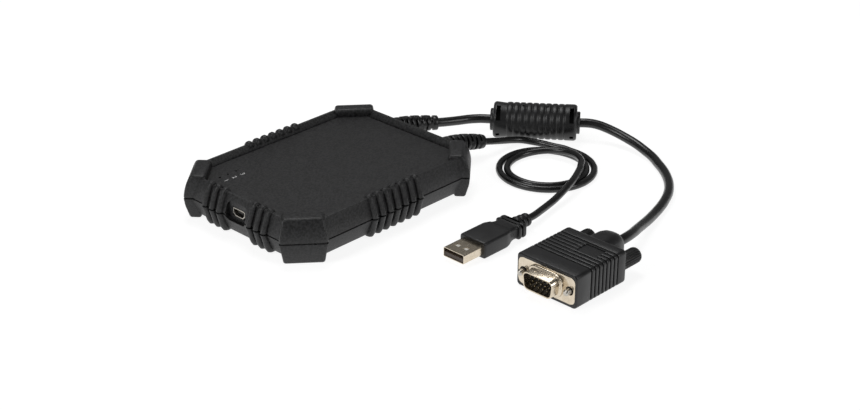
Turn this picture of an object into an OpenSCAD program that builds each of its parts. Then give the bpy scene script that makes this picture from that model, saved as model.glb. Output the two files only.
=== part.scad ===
// Crash cart adapter: a guarded octagonal box with a mini-USB port, a captive video cord
// with a ferrite and a 15-pin VGA plug, and a captive USB cord with a coil and a USB-A plug.
// The origin is under the middle of the box, on the surface that its guards stand on.
// +X points to the end that the cords leave, and +Z is up.

/* [Housing] */
// Length of the housing over its end walls at the parting line
case_len = 116.8; // [112:0.2:130]
// Width of the housing over its side walls at the parting line
case_wid = 88; // [84:0.5:100]
// Height of the parting line above the floor
part_z = 10.7; // [10.2:0.1:11.2]
// Height of the rim above the floor
rim_z = 20; // [19.5:0.1:22]
// Depth of the top panel below the rim
panel_drop = 2.3; // [1.5:0.1:2.8]
// Thickness of the top panel and of the floor
panel_t = 2; // [1.5:0.1:2.4]
// Thickness of the side and end walls
wall = 2.2; // [1.8:0.1:2.6]
// Lean of the end walls between the parting line and the rim
end_lean = 3.6; // [2.5:0.1:4.5]
// Lean of the side walls between the parting line and the rim
side_lean = 2.9; // [2:0.1:4]
// Lean of every wall between the parting line and the underside
under_lean = 3.3; // [2:0.1:4]
// Depth to which each corner of the box is cut off at the parting line
corner_cut = 9.8; // [9.2:0.1:10.2]
// Direction in which the corner walls face, measured from +X
corner_dir = 49; // [45:1:53]
// Width of the flat top of the rim
rim_w = 1.6; // [1.2:0.1:2.2]
// Run of the slope between the rim and the panel
rim_slope = 1.9; // [1:0.1:2.4]
// Height of the parting groove
groove_h = 0.7; // [0.4:0.1:1]
// Depth of the parting groove
groove_d = 0.7; // [0.4:0.1:1]

/* [Corner guards] */
// Height of the guards above the floor
guard_z = 21.3; // [20.8:0.1:23]
// Height of the guards' feet below the underside of the box
foot_h = 1.8; // [1.4:0.1:2.2]
// How far a guard stands out from its corner wall
guard_out = 2.3; // [1.8:0.1:3]
// Width of a guard at the parting line
guard_wid = 21.6; // [20:0.2:24]
// Radius of a guard's upright edges
guard_r = 1; // [0.6:0.1:1.4]

/* [Grip ribs] */
// Number of ribs on each long side
side_ribs = 7; // [3:1:9]
// Number of ribs on each side of the port
end_ribs = 3; // [1:1:4]
// Spacing of the ribs
rib_pitch = 4.8; // [4:0.1:5.2]
// Width of a rib
rib_w = 3; // [2.4:0.1:3.4]
// How far a rib stands out of the wall
rib_out = 1.4; // [0.8:0.1:1.8]
// Distance from the middle of the port to the first rib
end_rib_y = 10.2; // [10:0.1:12]

/* [Port and lamps] */
// Width of the recess round the port
recess_w = 13.4; // [12:0.1:14.5]
// Height of the recess round the port
recess_h = 9; // [8:0.1:9.6]
// Depth of the recess below the widest part of the end wall
recess_d = 2.9; // [2.4:0.1:3.2]
// Width of the port's metal shell
port_w = 7.7; // [7:0.1:8.2]
// Height of the port's metal shell
port_h = 3.9; // [3.4:0.1:4.2]
// Depth of the port's metal shell
port_len = 9.2; // [8:0.1:10]
// Radius of a lamp hole
lamp_r = 0.65; // [0.5:0.05:0.9]
// Spacing of the lamps
lamp_pitch = 4.85; // [4:0.05:5.2]

/* [Board] */
// Distance from the board to the outside of the end wall with the cords
board_end_gap = 12.4; // [12.2:0.1:16]
// Distance from the board's long edges to the outside of the side walls
board_side_gap = 8; // [7:0.1:9]
// Thickness of the circuit board
board_t = 1.6; // [1.2:0.1:1.8]

/* [Video cord] */
// Diameter of the video cord
video_d = 4.6; // [4:0.1:4.7]
// Distance from the middle of the end wall to the video cord's exit
video_exit_y = 19.4; // [18.5:0.1:20]
// Length of the ferrite cover without its collars
ferrite_len = 41.6; // [38:0.2:42]
// Radius of the ferrite cover over its ends
ferrite_r = 9.1; // [8.6:0.1:9.1]
// Number of grip rings on the ferrite cover
ferrite_rings = 13; // [8:1:15]
// Radius of the ferrite core
core_r = 7; // [6.5:0.1:7.2]
// Length of the ferrite core
core_len = 33; // [28:0.5:34]

/* [USB cord] */
// Diameter of the USB cord
usb_d = 3.4; // [3:0.1:3.4]
// Distance from the middle of the end wall to the USB cord's exit
usb_exit_y = -14; // [-15:0.1:-13.5]
// Radius at which the coil's outermost turn starts
coil_r = 24.5; // [24.2:0.1:25]
// Step of the coil from one turn to the next
coil_step = 3.9; // [3.85:0.05:4]

/* [VGA plug] */
// Width of the plug's hood
hood_w = 32.6; // [31.6:0.2:34]
// Height of the plug's hood
hood_h = 15.6; // [14.6:0.2:16]
// Length of the plug's hood
hood_len = 33; // [30:0.5:34]
// Width of the flange plate
plate_w = 30.8; // [30.4:0.1:31.2]
// Height of the flange plate
plate_h = 12.5; // [12:0.1:13]
// Spacing of the two jackscrews
screw_gap = 25; // [24.8:0.1:25.2]
// Radius of a jackscrew
screw_r = 1.42; // [1.3:0.01:1.5]
// Length of the jackscrew in front of the flange plate
screw_tip = 3.1; // [2:0.1:5]
// Width of the D-shaped collar
collar_w = 16.9; // [16.6:0.1:17.2]
// Height of the D-shaped collar
collar_h = 8.4; // [8.2:0.1:8.6]
// Length of the D-shaped collar in front of the flange plate
collar_len = 5.8; // [5:0.1:6.2]
// Radius of a thumb knob
knob_r = 3.6; // [3.2:0.1:4]
// Length of a thumb knob
knob_len = 11.5; // [10:0.5:14]

/* [USB-A plug] */
// Width of the plug's metal shell
shell_w = 12; // [11.8:0.1:12.2]
// Height of the plug's metal shell
shell_h = 4.5; // [4.4:0.1:4.6]
// Length of the metal shell in front of its grip
shell_len = 12; // [11.5:0.1:12.5]
// Width of the plug's grip
grip_w = 15; // [14:0.1:16]
// Height of the plug's grip
grip_h = 7.8; // [7.4:0.1:8]
// Length of the plug's grip up to the cord boot
grip_len = 27.4; // [25:0.1:29]
// Length of the cord boot behind the grip
grip_boot = 9.4; // [9:0.1:12]

/* [Hidden] */

// One overrun for every cut, and the thickness of the thin slices that a hull joins
over = 1;
slice = 0.02;
// Free space round a piece that drops into its seat
fit_gap = 0.15;
// Free space round a piece that turns
turn_gap = 0.25;
arc_fn = 48;
small_fn = 24;

// Housing heights and half sizes
panel_z = rim_z - panel_drop;
roof_z = panel_z - panel_t;
floor_z = foot_h + panel_t;
half_len = case_len / 2;
half_wid = case_wid / 2;
rise = rim_z - part_z;
drop = part_z - foot_h;
corner_lean = (end_lean + side_lean) / 2;
corner_n = half_len * cos(corner_dir) + half_wid * sin(corner_dir) - corner_cut;
rim_edge_r = 0.7;
under_edge_r = 1;
big = case_len + case_wid;

// Corner guards, in widths shared out along their height
guard_rim_share = 0.9;
guard_top_share = 0.86;
guard_under_share = 0.875;
guard_foot_share = 0.83;
guard_inner_top = corner_n - corner_lean - 0.05;
guard_inner_panel = guard_inner_top - 1.3;
guard_back = guard_inner_panel - 3;
foot_in = 3.8;
// The guards sit nearly in line with the corners that are cut off
guard_shift = half_wid * cos(corner_dir) - half_len * sin(corner_dir) + 1.2;

// Port
port_y = 0;
recess_x = -(half_len - recess_d);
recess_z = part_z + 2.2;
recess_r = 2.6;
frame_t = 2.2;

// Board
board_top = part_z - 0.2;
board_low = board_top - board_t;
board_x0 = recess_x + frame_t + 0.3;
board_x1 = half_len - board_end_gap;
board_len = board_x1 - board_x0;
board_wid = case_wid - 2 * board_side_gap;
board_cut = 15;
lamp_x = -half_len + 13.9;
lamp_y = half_wid - 18;

// Screws
post_x = half_len - 9.9;
post_y = half_wid - 12.5;
post_r = 3.5;
case_screw_r = 1.2;
case_head_r = 2.7;
case_head_h = 1.8;
case_seat = 2.4;
stand_x0 = board_x0 + 25;
stand_x1 = board_x1 - 8;
stand_y = board_wid / 2 - 4;
stand_r = 3;
board_screw_r = 1.05;
board_head_r = 2.2;
board_head_h = 1.4;

// Cord boots at the housing
neck_r = 4;
boot_r = 4.9;
boot_tip_r = 3.6;
flange_r = 5.2;
flange_t = 1.5;
boot_ribs = 9;
wall_in_x = half_len - wall;
boot_start = half_len + 1.6;
video_boot_guides = [[boot_start, video_exit_y, part_z], [boot_start + 8, video_exit_y, part_z],
    [75.5, 14.2, 10.2], [82, 9.8, 9.8]];
usb_boot_guides = [[boot_start, usb_exit_y, part_z], [boot_start + 10, usb_exit_y, part_z],
    [77.5, -16.2, 9.1], [84.9, -18.6, 7.5]];

// Ferrite: its middle and the way its axis points
ferrite_mid = [118.8, -22.9, 9.1];
ferrite_yaw = -52;
collar_t = 1.6;
ferrite_collar_r = 5.6;
ferrite_half = ferrite_len / 2 + collar_t;
ferrite_axis = [cos(ferrite_yaw), sin(ferrite_yaw), 0];
ferrite_in = ferrite_mid - ferrite_half * ferrite_axis;
ferrite_out = ferrite_mid + ferrite_half * ferrite_axis;

// Video cord routes between the boot, the ferrite and the plug
video_lead_points = [[85.3, 8, 9.6], [89.2, 6.1, 9.4], [93.2, 4.3, 9.2], [96.7, 2.7, 9.1],
    [99.8, 0.5, 9.1]];
video_run_points = [[137.7, -47.9, 8.6], [139.4, -52.3, 7.6], [140.6, -57.4, 6.4], [141.1, -63, 5.2],
    [140.8, -69.6, 4.1], [139.4, -76.2, 3.1], [137, -82.8, 2.5], [133.4, -88.8, 2.3],
    [129.4, -94.8, 2.3], [124.6, -100.7, 2.3], [118.7, -106.4, 2.3], [111.7, -111.4, 2.3],
    [103.9, -115.3, 2.3], [95.9, -118.4, 2.4], [88.1, -120.9, 2.7], [80.1, -123.5, 3.5],
    [72.7, -125.8, 4.6], [65.8, -128.1, 5.8], [59.2, -130.3, 6.9]];

// USB cord: coil centre, turns, start and rise, and the routes on each side of it
coil_mid = [91.8, -52.4];
coil_start = 10;
coil_turns = 2.2;
coil_rise = 3.9;
coil_rise_turns = 0.5;
coil_drift = 1.6;
coil_loop_rings = 24;
usb_lead_points = [[91.2, -20, 6.1], [97.2, -20.8, 4.7], [103, -22, 3.5],
    [107.4, -24.1, 2.7], [110.7, -28, 2], [113, -32.9, 1.7], [114.2, -38.4, 1.7]];
usb_tail_points = [[93, -71.9, 5.6], [88.6, -74, 5.6], [84.1, -75.9, 5.6], [79.5, -77.4, 5.5],
    [74.8, -78.6, 5], [70, -79.6, 4.3], [65, -80.6, 3.8], [60, -81.5, 3.6], [54.8, -82.6, 3.7]];

// USB-A plug: the middle of its open end, and its own sizes
usb_plug_at = [-6.3, -84.2, 3.9];
shell_t = 0.3;
shell_seat = 6;
tongue_h = 1.9;
tongue_drop = 0.9;
flange_w = 14.2;
flange_h = 7.2;
grip_edge_r = 1.1;
grip_boot_step = grip_boot / 5;

// VGA plug: the middle of its flange plate, and its own sizes
vga_at = [-0.7, -131.8, hood_h / 2];
plate_t = 0.8;
plate_r = 2.4;
collar_t_wall = 0.5;
collar_r = 2.6;
collar_slope_share = 0.06;
step_out = 1.4;
step_len = 1.1;
pin_pitch = 2.29;
pin_row = 1.98;
pin_r = 0.42;
hood_edge_r = 1.3;
hood_ribs = 8;
hood_rib_pitch = 2.5;
hood_rib_x = 9.7;
hood_groove_w = 0.9;
hood_groove_d = 0.6;
pad_len = 7.4;
pad_w = 10.6;
pad_x = 18.5;
hump_w = 13;
hump_h = 13.6;
hump_len = 14.5;
knob_flutes = 22;
knob_flute_d = 0.28;
vga_neck = vga_at + [hood_len + hump_len, 0, 0];

// Angle from one direction to another, between -180 and 180
function turn(a, b) = (b - a + 540) % 360 - 180;
function unit(v) = v / norm(v);

// Outline with each corner rounded by the radius that radii gives for it
function rounded(points, radii, steps = 4) = [for (i = [0:len(points) - 1])
    let (p = points[i],
        u = unit(points[(i + len(points) - 1) % len(points)] - p),
        v = unit(points[(i + 1) % len(points)] - p),
        half = acos(u * v) / 2,
        r = radii[i],
        c = p + unit(u + v) * r / sin(half),
        a = p + u * r / tan(half) - c,
        b = p + v * r / tan(half) - c,
        from = atan2(a[1], a[0]),
        sweep = turn(from, atan2(b[1], b[0])))
    for (k = [0:r > 0 ? steps : 0])
        r > 0 ? c + r * [cos(from + sweep * k / steps), sin(from + sweep * k / steps)] : p];

function rect(w, h) = [[-w / 2, -h / 2], [w / 2, -h / 2], [w / 2, h / 2], [-w / 2, h / 2]];
function round_rect(w, h, r, steps = 4) = rounded(rect(w, h), [r, r, r, r], steps);

// Symmetric section whose half width goes from low at z0 to high at z1
function drafted(low, z0, high, z1, r0 = 0, r1 = 0) =
    rounded([[-low, z0], [low, z0], [high, z1], [-high, z1]], [r0, r0, r1, r1], 3);

// Section in Y and Z carried along X, and section in X and Z carried along Y
module along_x(section, length) {
    rotate([90, 0, 90]) linear_extrude(length, center = true) polygon(section);
}
module along_y(section, length) {
    rotate([90, 0, 0]) linear_extrude(length, center = true) polygon(section);
}

// Solid where four drafted sections cross: the octagon form of the whole housing.
// halves gives the half sizes along X, Y and the corner direction, at z0 and at z1.
module crossed(halves0, z0, halves1, z1, r0 = 0, r1 = 0) {
    intersection() {
        along_y(drafted(halves0[0], z0, halves1[0], z1, r0, r1), big);
        along_x(drafted(halves0[1], z0, halves1[1], z1, r0, r1), big);
        rotate([0, 0, corner_dir])
            along_y(drafted(halves0[2], z0, halves1[2], z1, r0, r1), big);
        rotate([0, 0, -corner_dir])
            along_y(drafted(halves0[2], z0, halves1[2], z1, r0, r1), big);
    }
}

mid_halves = [half_len, half_wid, corner_n];
rim_halves = mid_halves - [end_lean, side_lean, corner_lean];
under_halves = mid_halves - under_lean * [1, 1, 1];
function inset(halves, d) = halves - d * [1, 1, 1];
function lean_at(z) = (z - part_z) / rise * (mid_halves - rim_halves);

// One corner guard, where drafted sections cross. Each slice is [z, outer distance,
// half width], and the upright edges are cut off at 45 degrees.
guard_cut = 0.6;
module guard(slices, back) {
    n = len(slices) - 1;
    rotate([0, 0, corner_dir]) translate([0, guard_shift, 0]) intersection() {
        along_y(concat([[back, slices[n][0]], [back, slices[0][0]]],
            [for (s = slices) [s[1], s[0]]]), big);
        along_x(concat([for (i = [n:-1:0]) [-slices[i][2], slices[i][0]]],
            [for (s = slices) [s[2], s[0]]]), 2 * big);
        for (side = [-1, 1]) rotate([0, 0, side * 45])
            along_y(concat([[-big, slices[n][0]], [-big, slices[0][0]]],
                [for (s = slices) [(s[1] + s[2] - guard_cut) / sqrt(2), s[0]]]), 2 * big);
    }
}

// The same guard at all four corners
module at_corners() {
    for (mx = [0, 1], my = [0, 1])
        mirror([mx, 0, 0]) mirror([0, my, 0]) children();
}

guard_n = corner_n + guard_out;
upper_guard = [
    [part_z, guard_n, guard_wid / 2],
    [rim_z, guard_n - corner_lean + slice, guard_wid / 2 * guard_rim_share],
    [guard_z, guard_n - corner_lean - guard_r / 2, guard_wid / 2 * guard_top_share]];
lower_guard = [
    [0, guard_n - under_lean + guard_r / 2, guard_wid / 2 * guard_foot_share],
    [foot_h, guard_n - under_lean + guard_r, guard_wid / 2 * guard_under_share],
    [part_z, guard_n, guard_wid / 2]];
groove_guard = [
    [part_z - groove_h, guard_n - groove_d, guard_wid / 2 - groove_d],
    [part_z + groove_h, guard_n - groove_d, guard_wid / 2 - groove_d]];

// Closed skin through rings of points that all have the same count
module loft(rings) {
    n = len(rings[0]);
    last = len(rings) - 1;
    polyhedron(
        points = [for (r = rings) for (p = r) p],
        faces = concat(
            [for (i = [0:last - 1]) for (j = [0:n - 1])
                [i * n + j, (i + 1) * n + j, (i + 1) * n + (j + 1) % n]],
            [for (i = [0:last - 1]) for (j = [0:n - 1])
                [i * n + j, (i + 1) * n + (j + 1) % n, i * n + (j + 1) % n]],
            [for (j = [1:n - 2]) [0, j, j + 1]],
            [for (j = [1:n - 2]) [last * n, last * n + j + 1, last * n + j]]));
}

// Grip rib that climbs a wall: its outline in the direction out of the wall and up, with the
// crest's edges cut off at 45 degrees. low and high are the crest's [distance, height].
rib_cut = 1;
module rib(outline, low, high) {
    intersection() {
        along_x(outline, rib_w);
        for (side = [-1, 1]) rotate([0, 0, side * 45])
            along_x([[-big, high[1]], [-big, low[1]],
                [(low[0] + rib_w / 2 - rib_cut) / sqrt(2), low[1]],
                [(high[0] + rib_w / 2 - rib_cut) / sqrt(2), high[1]]], 2 * big);
    }
}
module upper_rib(half, lean) {
    top = half - lean;
    high = rim_z + rib_out;
    inner = half - wall / 2;
    rib([[inner, part_z], [half + rib_out, part_z], [top + rib_out, rim_z - rim_edge_r / 2],
        [top + rib_out / 2, rim_z + rib_out * 0.7], [top - rim_edge_r, rim_z + rib_out * 0.85],
        [top - rim_w, rim_z + rib_out * 0.65],
        [top - rim_w - rim_slope / 2, rim_z - panel_drop * 0.35],
        [top - rim_w - rim_slope / 2, rim_z - panel_drop * 0.8],
        [inner - lean * (roof_z - part_z) / rise, roof_z]],
        [half + rib_out, part_z], [top + rib_out, high]);
}
module lower_rib(half) {
    foot = half - under_lean;
    inner = half - wall / 2;
    rib([[foot - wall / 2, foot_h + panel_t / 2], [foot - 3 * rim_w, foot_h + panel_t / 2],
        [foot - 3 * rim_w, foot_h - rib_out * 0.1], [foot - rim_w, foot_h - rib_out * 0.75],
        [foot + rib_out / 3, foot_h - rib_out * 0.65], [foot + rib_out, foot_h + rim_edge_r / 2],
        [half + rib_out, part_z], [inner, part_z]],
        [foot + rib_out, foot_h - rib_out], [half + rib_out, part_z]);
}

// Places of the ribs: along both long sides, and beside the port
module at_side_ribs() {
    for (turned = [0, 180], i = [0:side_ribs - 1])
        rotate([0, 0, turned])
            translate([(i - (side_ribs - 1) / 2) * rib_pitch, 0, 0]) children();
}
module at_end_ribs() {
    for (side = [-1, 1], i = [0:end_ribs - 1])
        rotate([0, 0, 90]) translate([side * (end_rib_y + i * rib_pitch), 0, 0]) children();
}

// Slab outside the parting outline, which leaves the groove between the covers
module parting_groove() {
    difference() {
        translate([0, 0, part_z])
            cube([big, big, groove_h], center = true);
        crossed(inset(mid_halves, groove_d), 0, inset(mid_halves, groove_d), rim_z);
        at_corners() guard(groove_guard, guard_back);
    }
}

// Recess round the port, its opening for the port's shell, and the two cord exits
module wall_openings() {
    translate([recess_x - big / 2, port_y, recess_z])
        along_x(round_rect(recess_w, recess_h, recess_r), big);
    translate([recess_x, port_y, board_top + port_h / 2])
        cube([4 * frame_t, port_w + 4 * fit_gap, port_h + 4 * fit_gap], center = true);
    for (y = [video_exit_y, usb_exit_y])
        translate([wall_in_x - flange_t, y, part_z]) rotate([0, 90, 0]) {
            cylinder(r = neck_r + fit_gap, h = big / 4, $fn = arc_fn);
            cylinder(r = flange_r + fit_gap, h = flange_t + fit_gap, $fn = arc_fn);
        }
}

// Frame behind the port recess, and saddles for the cord boots
module wall_frames(z0, z1) {
    translate([recess_x, port_y - recess_w / 2 - frame_t, z0])
        cube([frame_t, recess_w + 2 * frame_t, z1 - z0]);
    translate([recess_x - recess_d / 2, port_y - recess_w / 2 - frame_t, z0])
        cube([recess_d / 2 + frame_t / 2, recess_w + 2 * frame_t, z1 - z0]);
    for (y = [video_exit_y, usb_exit_y])
        translate([wall_in_x - flange_t, y - flange_r - frame_t, z0])
            cube([flange_t + over, 2 * (flange_r + frame_t), z1 - z0]);
}

module at_posts() {
    for (x = [-post_x, post_x], y = [-post_y, post_y]) translate([x, y, 0]) children();
}
module at_stands() {
    for (x = [stand_x0, stand_x1], y = [-stand_y, stand_y]) translate([x, y, 0]) children();
}
module at_lamps() {
    for (i = [0:2]) translate([lamp_x + i * lamp_pitch, lamp_y, 0]) children();
}

module top_cover() {
    color([0.09, 0.09, 0.1]) difference() {
        union() {
            difference() {
                union() {
                    crossed(mid_halves, part_z, rim_halves, rim_z, 0, rim_edge_r);
                    at_corners() guard(upper_guard, guard_back);
                }
                crossed(inset(rim_halves, rim_w + rim_slope) - [0, 0, rim_halves[2] - rim_w
                    - rim_slope - guard_inner_panel], panel_z,
                    inset(rim_halves, rim_w - rim_slope / 2)
                    - [0, 0, rim_halves[2] - rim_w + rim_slope / 2 - guard_inner_top - over / 2],
                    rim_z + 1.5 / panel_drop * rim_slope);
                crossed(inset(mid_halves, wall) + [0, 0, 0] - lean_at(part_z - over),
                    part_z - over, inset(mid_halves, wall) - lean_at(roof_z), roof_z);
            }
            intersection() {
                crossed(inset(mid_halves, wall / 2), part_z,
                    inset(mid_halves, wall / 2) - lean_at(rim_z), rim_z);
                wall_frames(part_z, roof_z + wall / 2);
            }
            at_side_ribs() upper_rib(half_wid, side_lean);
            at_end_ribs() upper_rib(half_len, end_lean);
            at_posts() translate([0, 0, part_z]) cylinder(r = post_r, h = roof_z - part_z
                + panel_t / 2, $fn = arc_fn);
        }
        parting_groove();
        wall_openings();
        at_posts() translate([0, 0, part_z - over])
            cylinder(r = case_screw_r + fit_gap / 3, h = roof_z - part_z, $fn = small_fn);
        at_lamps() translate([0, 0, roof_z - over])
            cylinder(r = lamp_r, h = panel_t + 2 * over, $fn = small_fn);
    }
}

module bottom_cover() {
    color([0.09, 0.09, 0.1]) difference() {
        union() {
            difference() {
                union() {
                    crossed(under_halves, foot_h, mid_halves, part_z, under_edge_r, 0);
                    at_corners() guard(lower_guard, guard_n - under_lean - foot_in);
                }
                crossed(inset(under_halves, wall) + (floor_z - foot_h) / drop * under_lean
                    * [1, 1, 1], floor_z, inset(mid_halves, wall) + over / drop * under_lean
                    * [1, 1, 1], part_z + over);
            }
            intersection() {
                crossed(inset(under_halves, wall / 2), foot_h, inset(mid_halves, wall / 2),
                    part_z);
                wall_frames(floor_z - panel_t / 2, part_z);
            }
            at_side_ribs() lower_rib(half_wid);
            at_end_ribs() lower_rib(half_len);
            at_posts() translate([0, 0, foot_h + panel_t / 2])
                cylinder(r = post_r, h = part_z - foot_h - panel_t / 2, $fn = arc_fn);
            at_stands() translate([0, 0, foot_h + panel_t / 2])
                cylinder(r = stand_r, h = board_low - foot_h - panel_t / 2, $fn = arc_fn);
        }
        parting_groove();
        wall_openings();
        at_posts() {
            translate([0, 0, foot_h - over])
                cylinder(r = case_head_r + 2 * fit_gap, h = case_seat + over, $fn = arc_fn);
            translate([0, 0, foot_h])
                cylinder(r = case_screw_r + 2 * fit_gap, h = part_z, $fn = small_fn);
        }
        at_stands() translate([0, 0, floor_z])
            cylinder(r = board_screw_r + fit_gap / 3, h = board_low, $fn = small_fn);
    }
}

module main_board() {
    color([0.05, 0.3, 0.15]) difference() {
        translate([0, 0, board_low]) linear_extrude(board_t) polygon([
            [board_x0 + board_cut, -board_wid / 2], [board_x1 - board_cut, -board_wid / 2],
            [board_x1, -board_wid / 2 + board_cut], [board_x1, board_wid / 2 - board_cut],
            [board_x1 - board_cut, board_wid / 2], [board_x0 + board_cut, board_wid / 2],
            [board_x0, board_wid / 2 - board_cut], [board_x0, -board_wid / 2 + board_cut]]);
        at_stands() translate([0, 0, board_low - over])
            cylinder(r = board_screw_r + 2 * fit_gap, h = board_t + 2 * over, $fn = small_fn);
    }
}

// Flat chip with a row of leads on each side that sides names
module chip(at, size, leads, both = true) {
    lead_w = 0.5;
    lead_out = 0.9;
    lead_t = 0.25;
    translate([at[0], at[1], board_top]) {
        translate([0, 0, lead_t]) linear_extrude(size[2] - lead_t)
            polygon(round_rect(size[0], size[1], lead_w, 2));
        for (i = [0:leads[0] - 1], side = [-1, 1])
            translate([(i - (leads[0] - 1) / 2) * size[0] / (leads[0] + 1) - lead_w / 2,
                side * size[1] / 2 - (side < 0 ? lead_out : lead_out / 2), 0])
                cube([lead_w, 1.5 * lead_out, 2 * lead_t]);
        if (both) for (i = [0:leads[1] - 1], side = [-1, 1])
            translate([side * size[0] / 2 - (side < 0 ? lead_out : lead_out / 2),
                (i - (leads[1] - 1) / 2) * size[1] / (leads[1] + 1) - lead_w / 2, 0])
                cube([1.5 * lead_out, lead_w, 2 * lead_t]);
    }
}

// Place on the board, from hundredths of its length and width from its middle
function on_board(share) = [board_x0 + board_len / 2 + share[0] * board_len / 100,
    share[1] * board_wid / 100];

// Chips: place of the middle on the board, and length, width and height
processor_at = on_board([3.5, -5.5]);
processor_size = [20, 20, 1.5];
digitizer_at = on_board([25.8, 19.4]);
digitizer_size = [14, 14, 1.4];
controller_at = on_board([-27.8, -8.3]);
controller_size = [10, 10, 1.2];
memory_size = [10.2, 18.4, 1.1];
memory_at = [for (share = [[6.6, 30.6], [6.6, -36.1]]) on_board(share)];
module video_processor() {
    color([0.12, 0.12, 0.13]) chip(processor_at, processor_size, [16, 16]);
}
module video_digitizer() {
    color([0.12, 0.12, 0.13]) chip(digitizer_at, digitizer_size, [12, 12]);
}
module usb_controller() {
    color([0.12, 0.12, 0.13]) chip(controller_at, controller_size, [10, 10]);
}
module memory_chips() {
    color([0.12, 0.12, 0.13]) for (c = memory_at)
        translate([c[0], c[1], 0]) rotate([0, 0, 90])
            chip([0, 0], [memory_size[1], memory_size[0], memory_size[2]], [12, 0], false);
}

// Can crystals: two round ends and a straight middle
crystal_at = [for (share = [[-16.7, 11.1], [21.7, -30.6]])
    on_board(share)];
crystal_len = 10.8;
crystal_w = 4.5;
crystal_h = 3.4;
module crystals() {
    color([0.78, 0.78, 0.8]) for (c = crystal_at) translate([c[0], c[1], board_top])
        linear_extrude(crystal_h)
            polygon(round_rect(crystal_len, crystal_w, crystal_w / 2 - slice, 8));
}

capacitor_at = [for (share = [[-40.9, 11.1], [-40.9, -22.2], [-8.6, -38.9], [33.8, -11.1],
    [39.9, -33.3], [-12.6, 38.9], [31.8, -40.3]]) on_board(share)];
capacitor_r = 2;
capacitor_h = 4.6;
module capacitors() {
    color([0.62, 0.6, 0.55]) for (c = capacitor_at)
        translate([c[0], c[1], board_top]) {
            translate([0, 0, 0.6]) cylinder(r = capacitor_r, h = capacitor_h - 0.6, $fn = arc_fn);
            linear_extrude(0.6) polygon(round_rect(2.1 * capacitor_r, 2.1 * capacitor_r, 0.5, 2));
        }
}

inductor_at = [for (share = [[-34.8, -36.1], [-20.7, -27.8], [19.7, 41.7]])
    on_board(share)];
inductor_w = 6;
inductor_h = 3;
module inductors() {
    color([0.25, 0.24, 0.23]) for (c = inductor_at) translate([c[0], c[1], board_top]) {
        linear_extrude(inductor_h / 3) polygon(round_rect(inductor_w, inductor_w, 1, 3));
        cylinder(r = inductor_w * 0.4, h = inductor_h, $fn = arc_fn);
        translate([0, 0, inductor_h * 0.8])
            linear_extrude(inductor_h * 0.2) polygon(round_rect(inductor_w, inductor_w, 1, 3));
    }
}

regulator_at = [for (share = [[-38.9, -5.6], [33.8, 41.7]])
    on_board(share)];
regulator_size = [3.5, 6.5, 1.6];
module voltage_regulators() {
    color([0.13, 0.13, 0.14]) for (c = regulator_at) translate([c[0], c[1], board_top]) {
        translate([-regulator_size[0] / 2, -regulator_size[1] / 2, 0]) cube(regulator_size);
        translate([regulator_size[0] / 2 - 0.2, -1.5, 0]) cube([1.8, 3, 0.4]);
        for (i = [-1:1]) translate([-regulator_size[0] / 2 - 1.6, i * 2.3 - 0.35, 0])
            cube([1.8, 0.7, 0.4]);
    }
}

// Rows of small pieces: the place of the first on the board, and their number
passive_rows = [[-26.8, 16.7, 5], [-20.7, -22.2, 4], [17.7, 1.4, 5], [20.7, -19.4, 5],
    [-10.6, 25, 4], [37.9, 5.6, 3]];
passive_size = [1.2, 2, 0.7];
module small_passives() {
    color([0.5, 0.4, 0.3]) for (r = passive_rows) let (first = on_board(r)) for (i = [0:r[2] - 1])
        translate([first[0] + 2 * passive_size[0] * i, first[1], board_top]) cube(passive_size);
}

// Outline of the port's shell: a rectangle with its two lower corners drawn in
function port_section(w, h, cut) = rounded([[-w / 2 + cut, -h / 2], [w / 2 - cut, -h / 2],
    [w / 2, -h / 2 + cut], [w / 2, h / 2], [-w / 2, h / 2], [-w / 2, -h / 2 + cut]],
    [0.3, 0.3, 0.3, 0.5, 0.5, 0.3], 2);
port_wall = 0.35;
port_at = [recess_x + port_len / 2, port_y, board_top + port_h / 2];
module mini_usb_shell() {
    color([0.85, 0.83, 0.8]) translate(port_at) difference() {
        union() {
            along_x(port_section(port_w, port_h, port_w / 6), port_len);
            for (side = [-1, 1], x = [0, port_len / 3])
                translate([x - 1, side * (port_w / 2 + 0.3) - 0.7, -port_h / 2])
                    cube([2, 1.4, port_wall]);
        }
        translate([-2 * port_wall, 0, 0])
            along_x(port_section(port_w - 2 * port_wall, port_h - 2 * port_wall,
                port_w / 6), port_len);
    }
}
port_tongue = [6.4, 3.4, 0.9];
module mini_usb_insulator() {
    color([0.08, 0.08, 0.08]) translate(port_at) {
        translate([port_len / 2 - 2 * port_wall - port_tongue[0] - 1, -port_tongue[1] / 2,
            -port_tongue[2] / 2]) cube(port_tongue);
        translate([port_len / 2 - 2 * port_wall - 2, 0, 0])
            along_x(port_section(port_w - 2.2 * port_wall, port_h - 2.2 * port_wall,
                port_w / 6), 2);
    }
}
module mini_usb_contacts() {
    color([0.85, 0.7, 0.35]) translate(port_at) for (i = [-2:2])
        translate([port_len / 2 - 2 * port_wall - port_tongue[0] - 1, i * 0.65 - 0.15,
            port_tongue[2] / 2]) cube([port_tongue[0] - 2, 0.3, 0.15]);
}

lamp_size = [1.6, 0.9, 0.8];
module status_leds() {
    color([0.95, 0.95, 0.85]) at_lamps() translate([-lamp_size[0] / 2, -lamp_size[1] / 2,
        board_top]) cube(lamp_size);
}
module light_pipes() {
    color([0.85, 0.9, 0.92, 0.6]) at_lamps() {
        translate([0, 0, board_top + lamp_size[2] + 0.2]) cylinder(r = 2 * lamp_r,
            h = roof_z - board_top - lamp_size[2] - 0.2, $fn = arc_fn);
        translate([0, 0, roof_z - over / 2])
            cylinder(r = lamp_r - 0.03, h = panel_t + over / 2 - 0.25, $fn = small_fn);
    }
}

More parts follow.
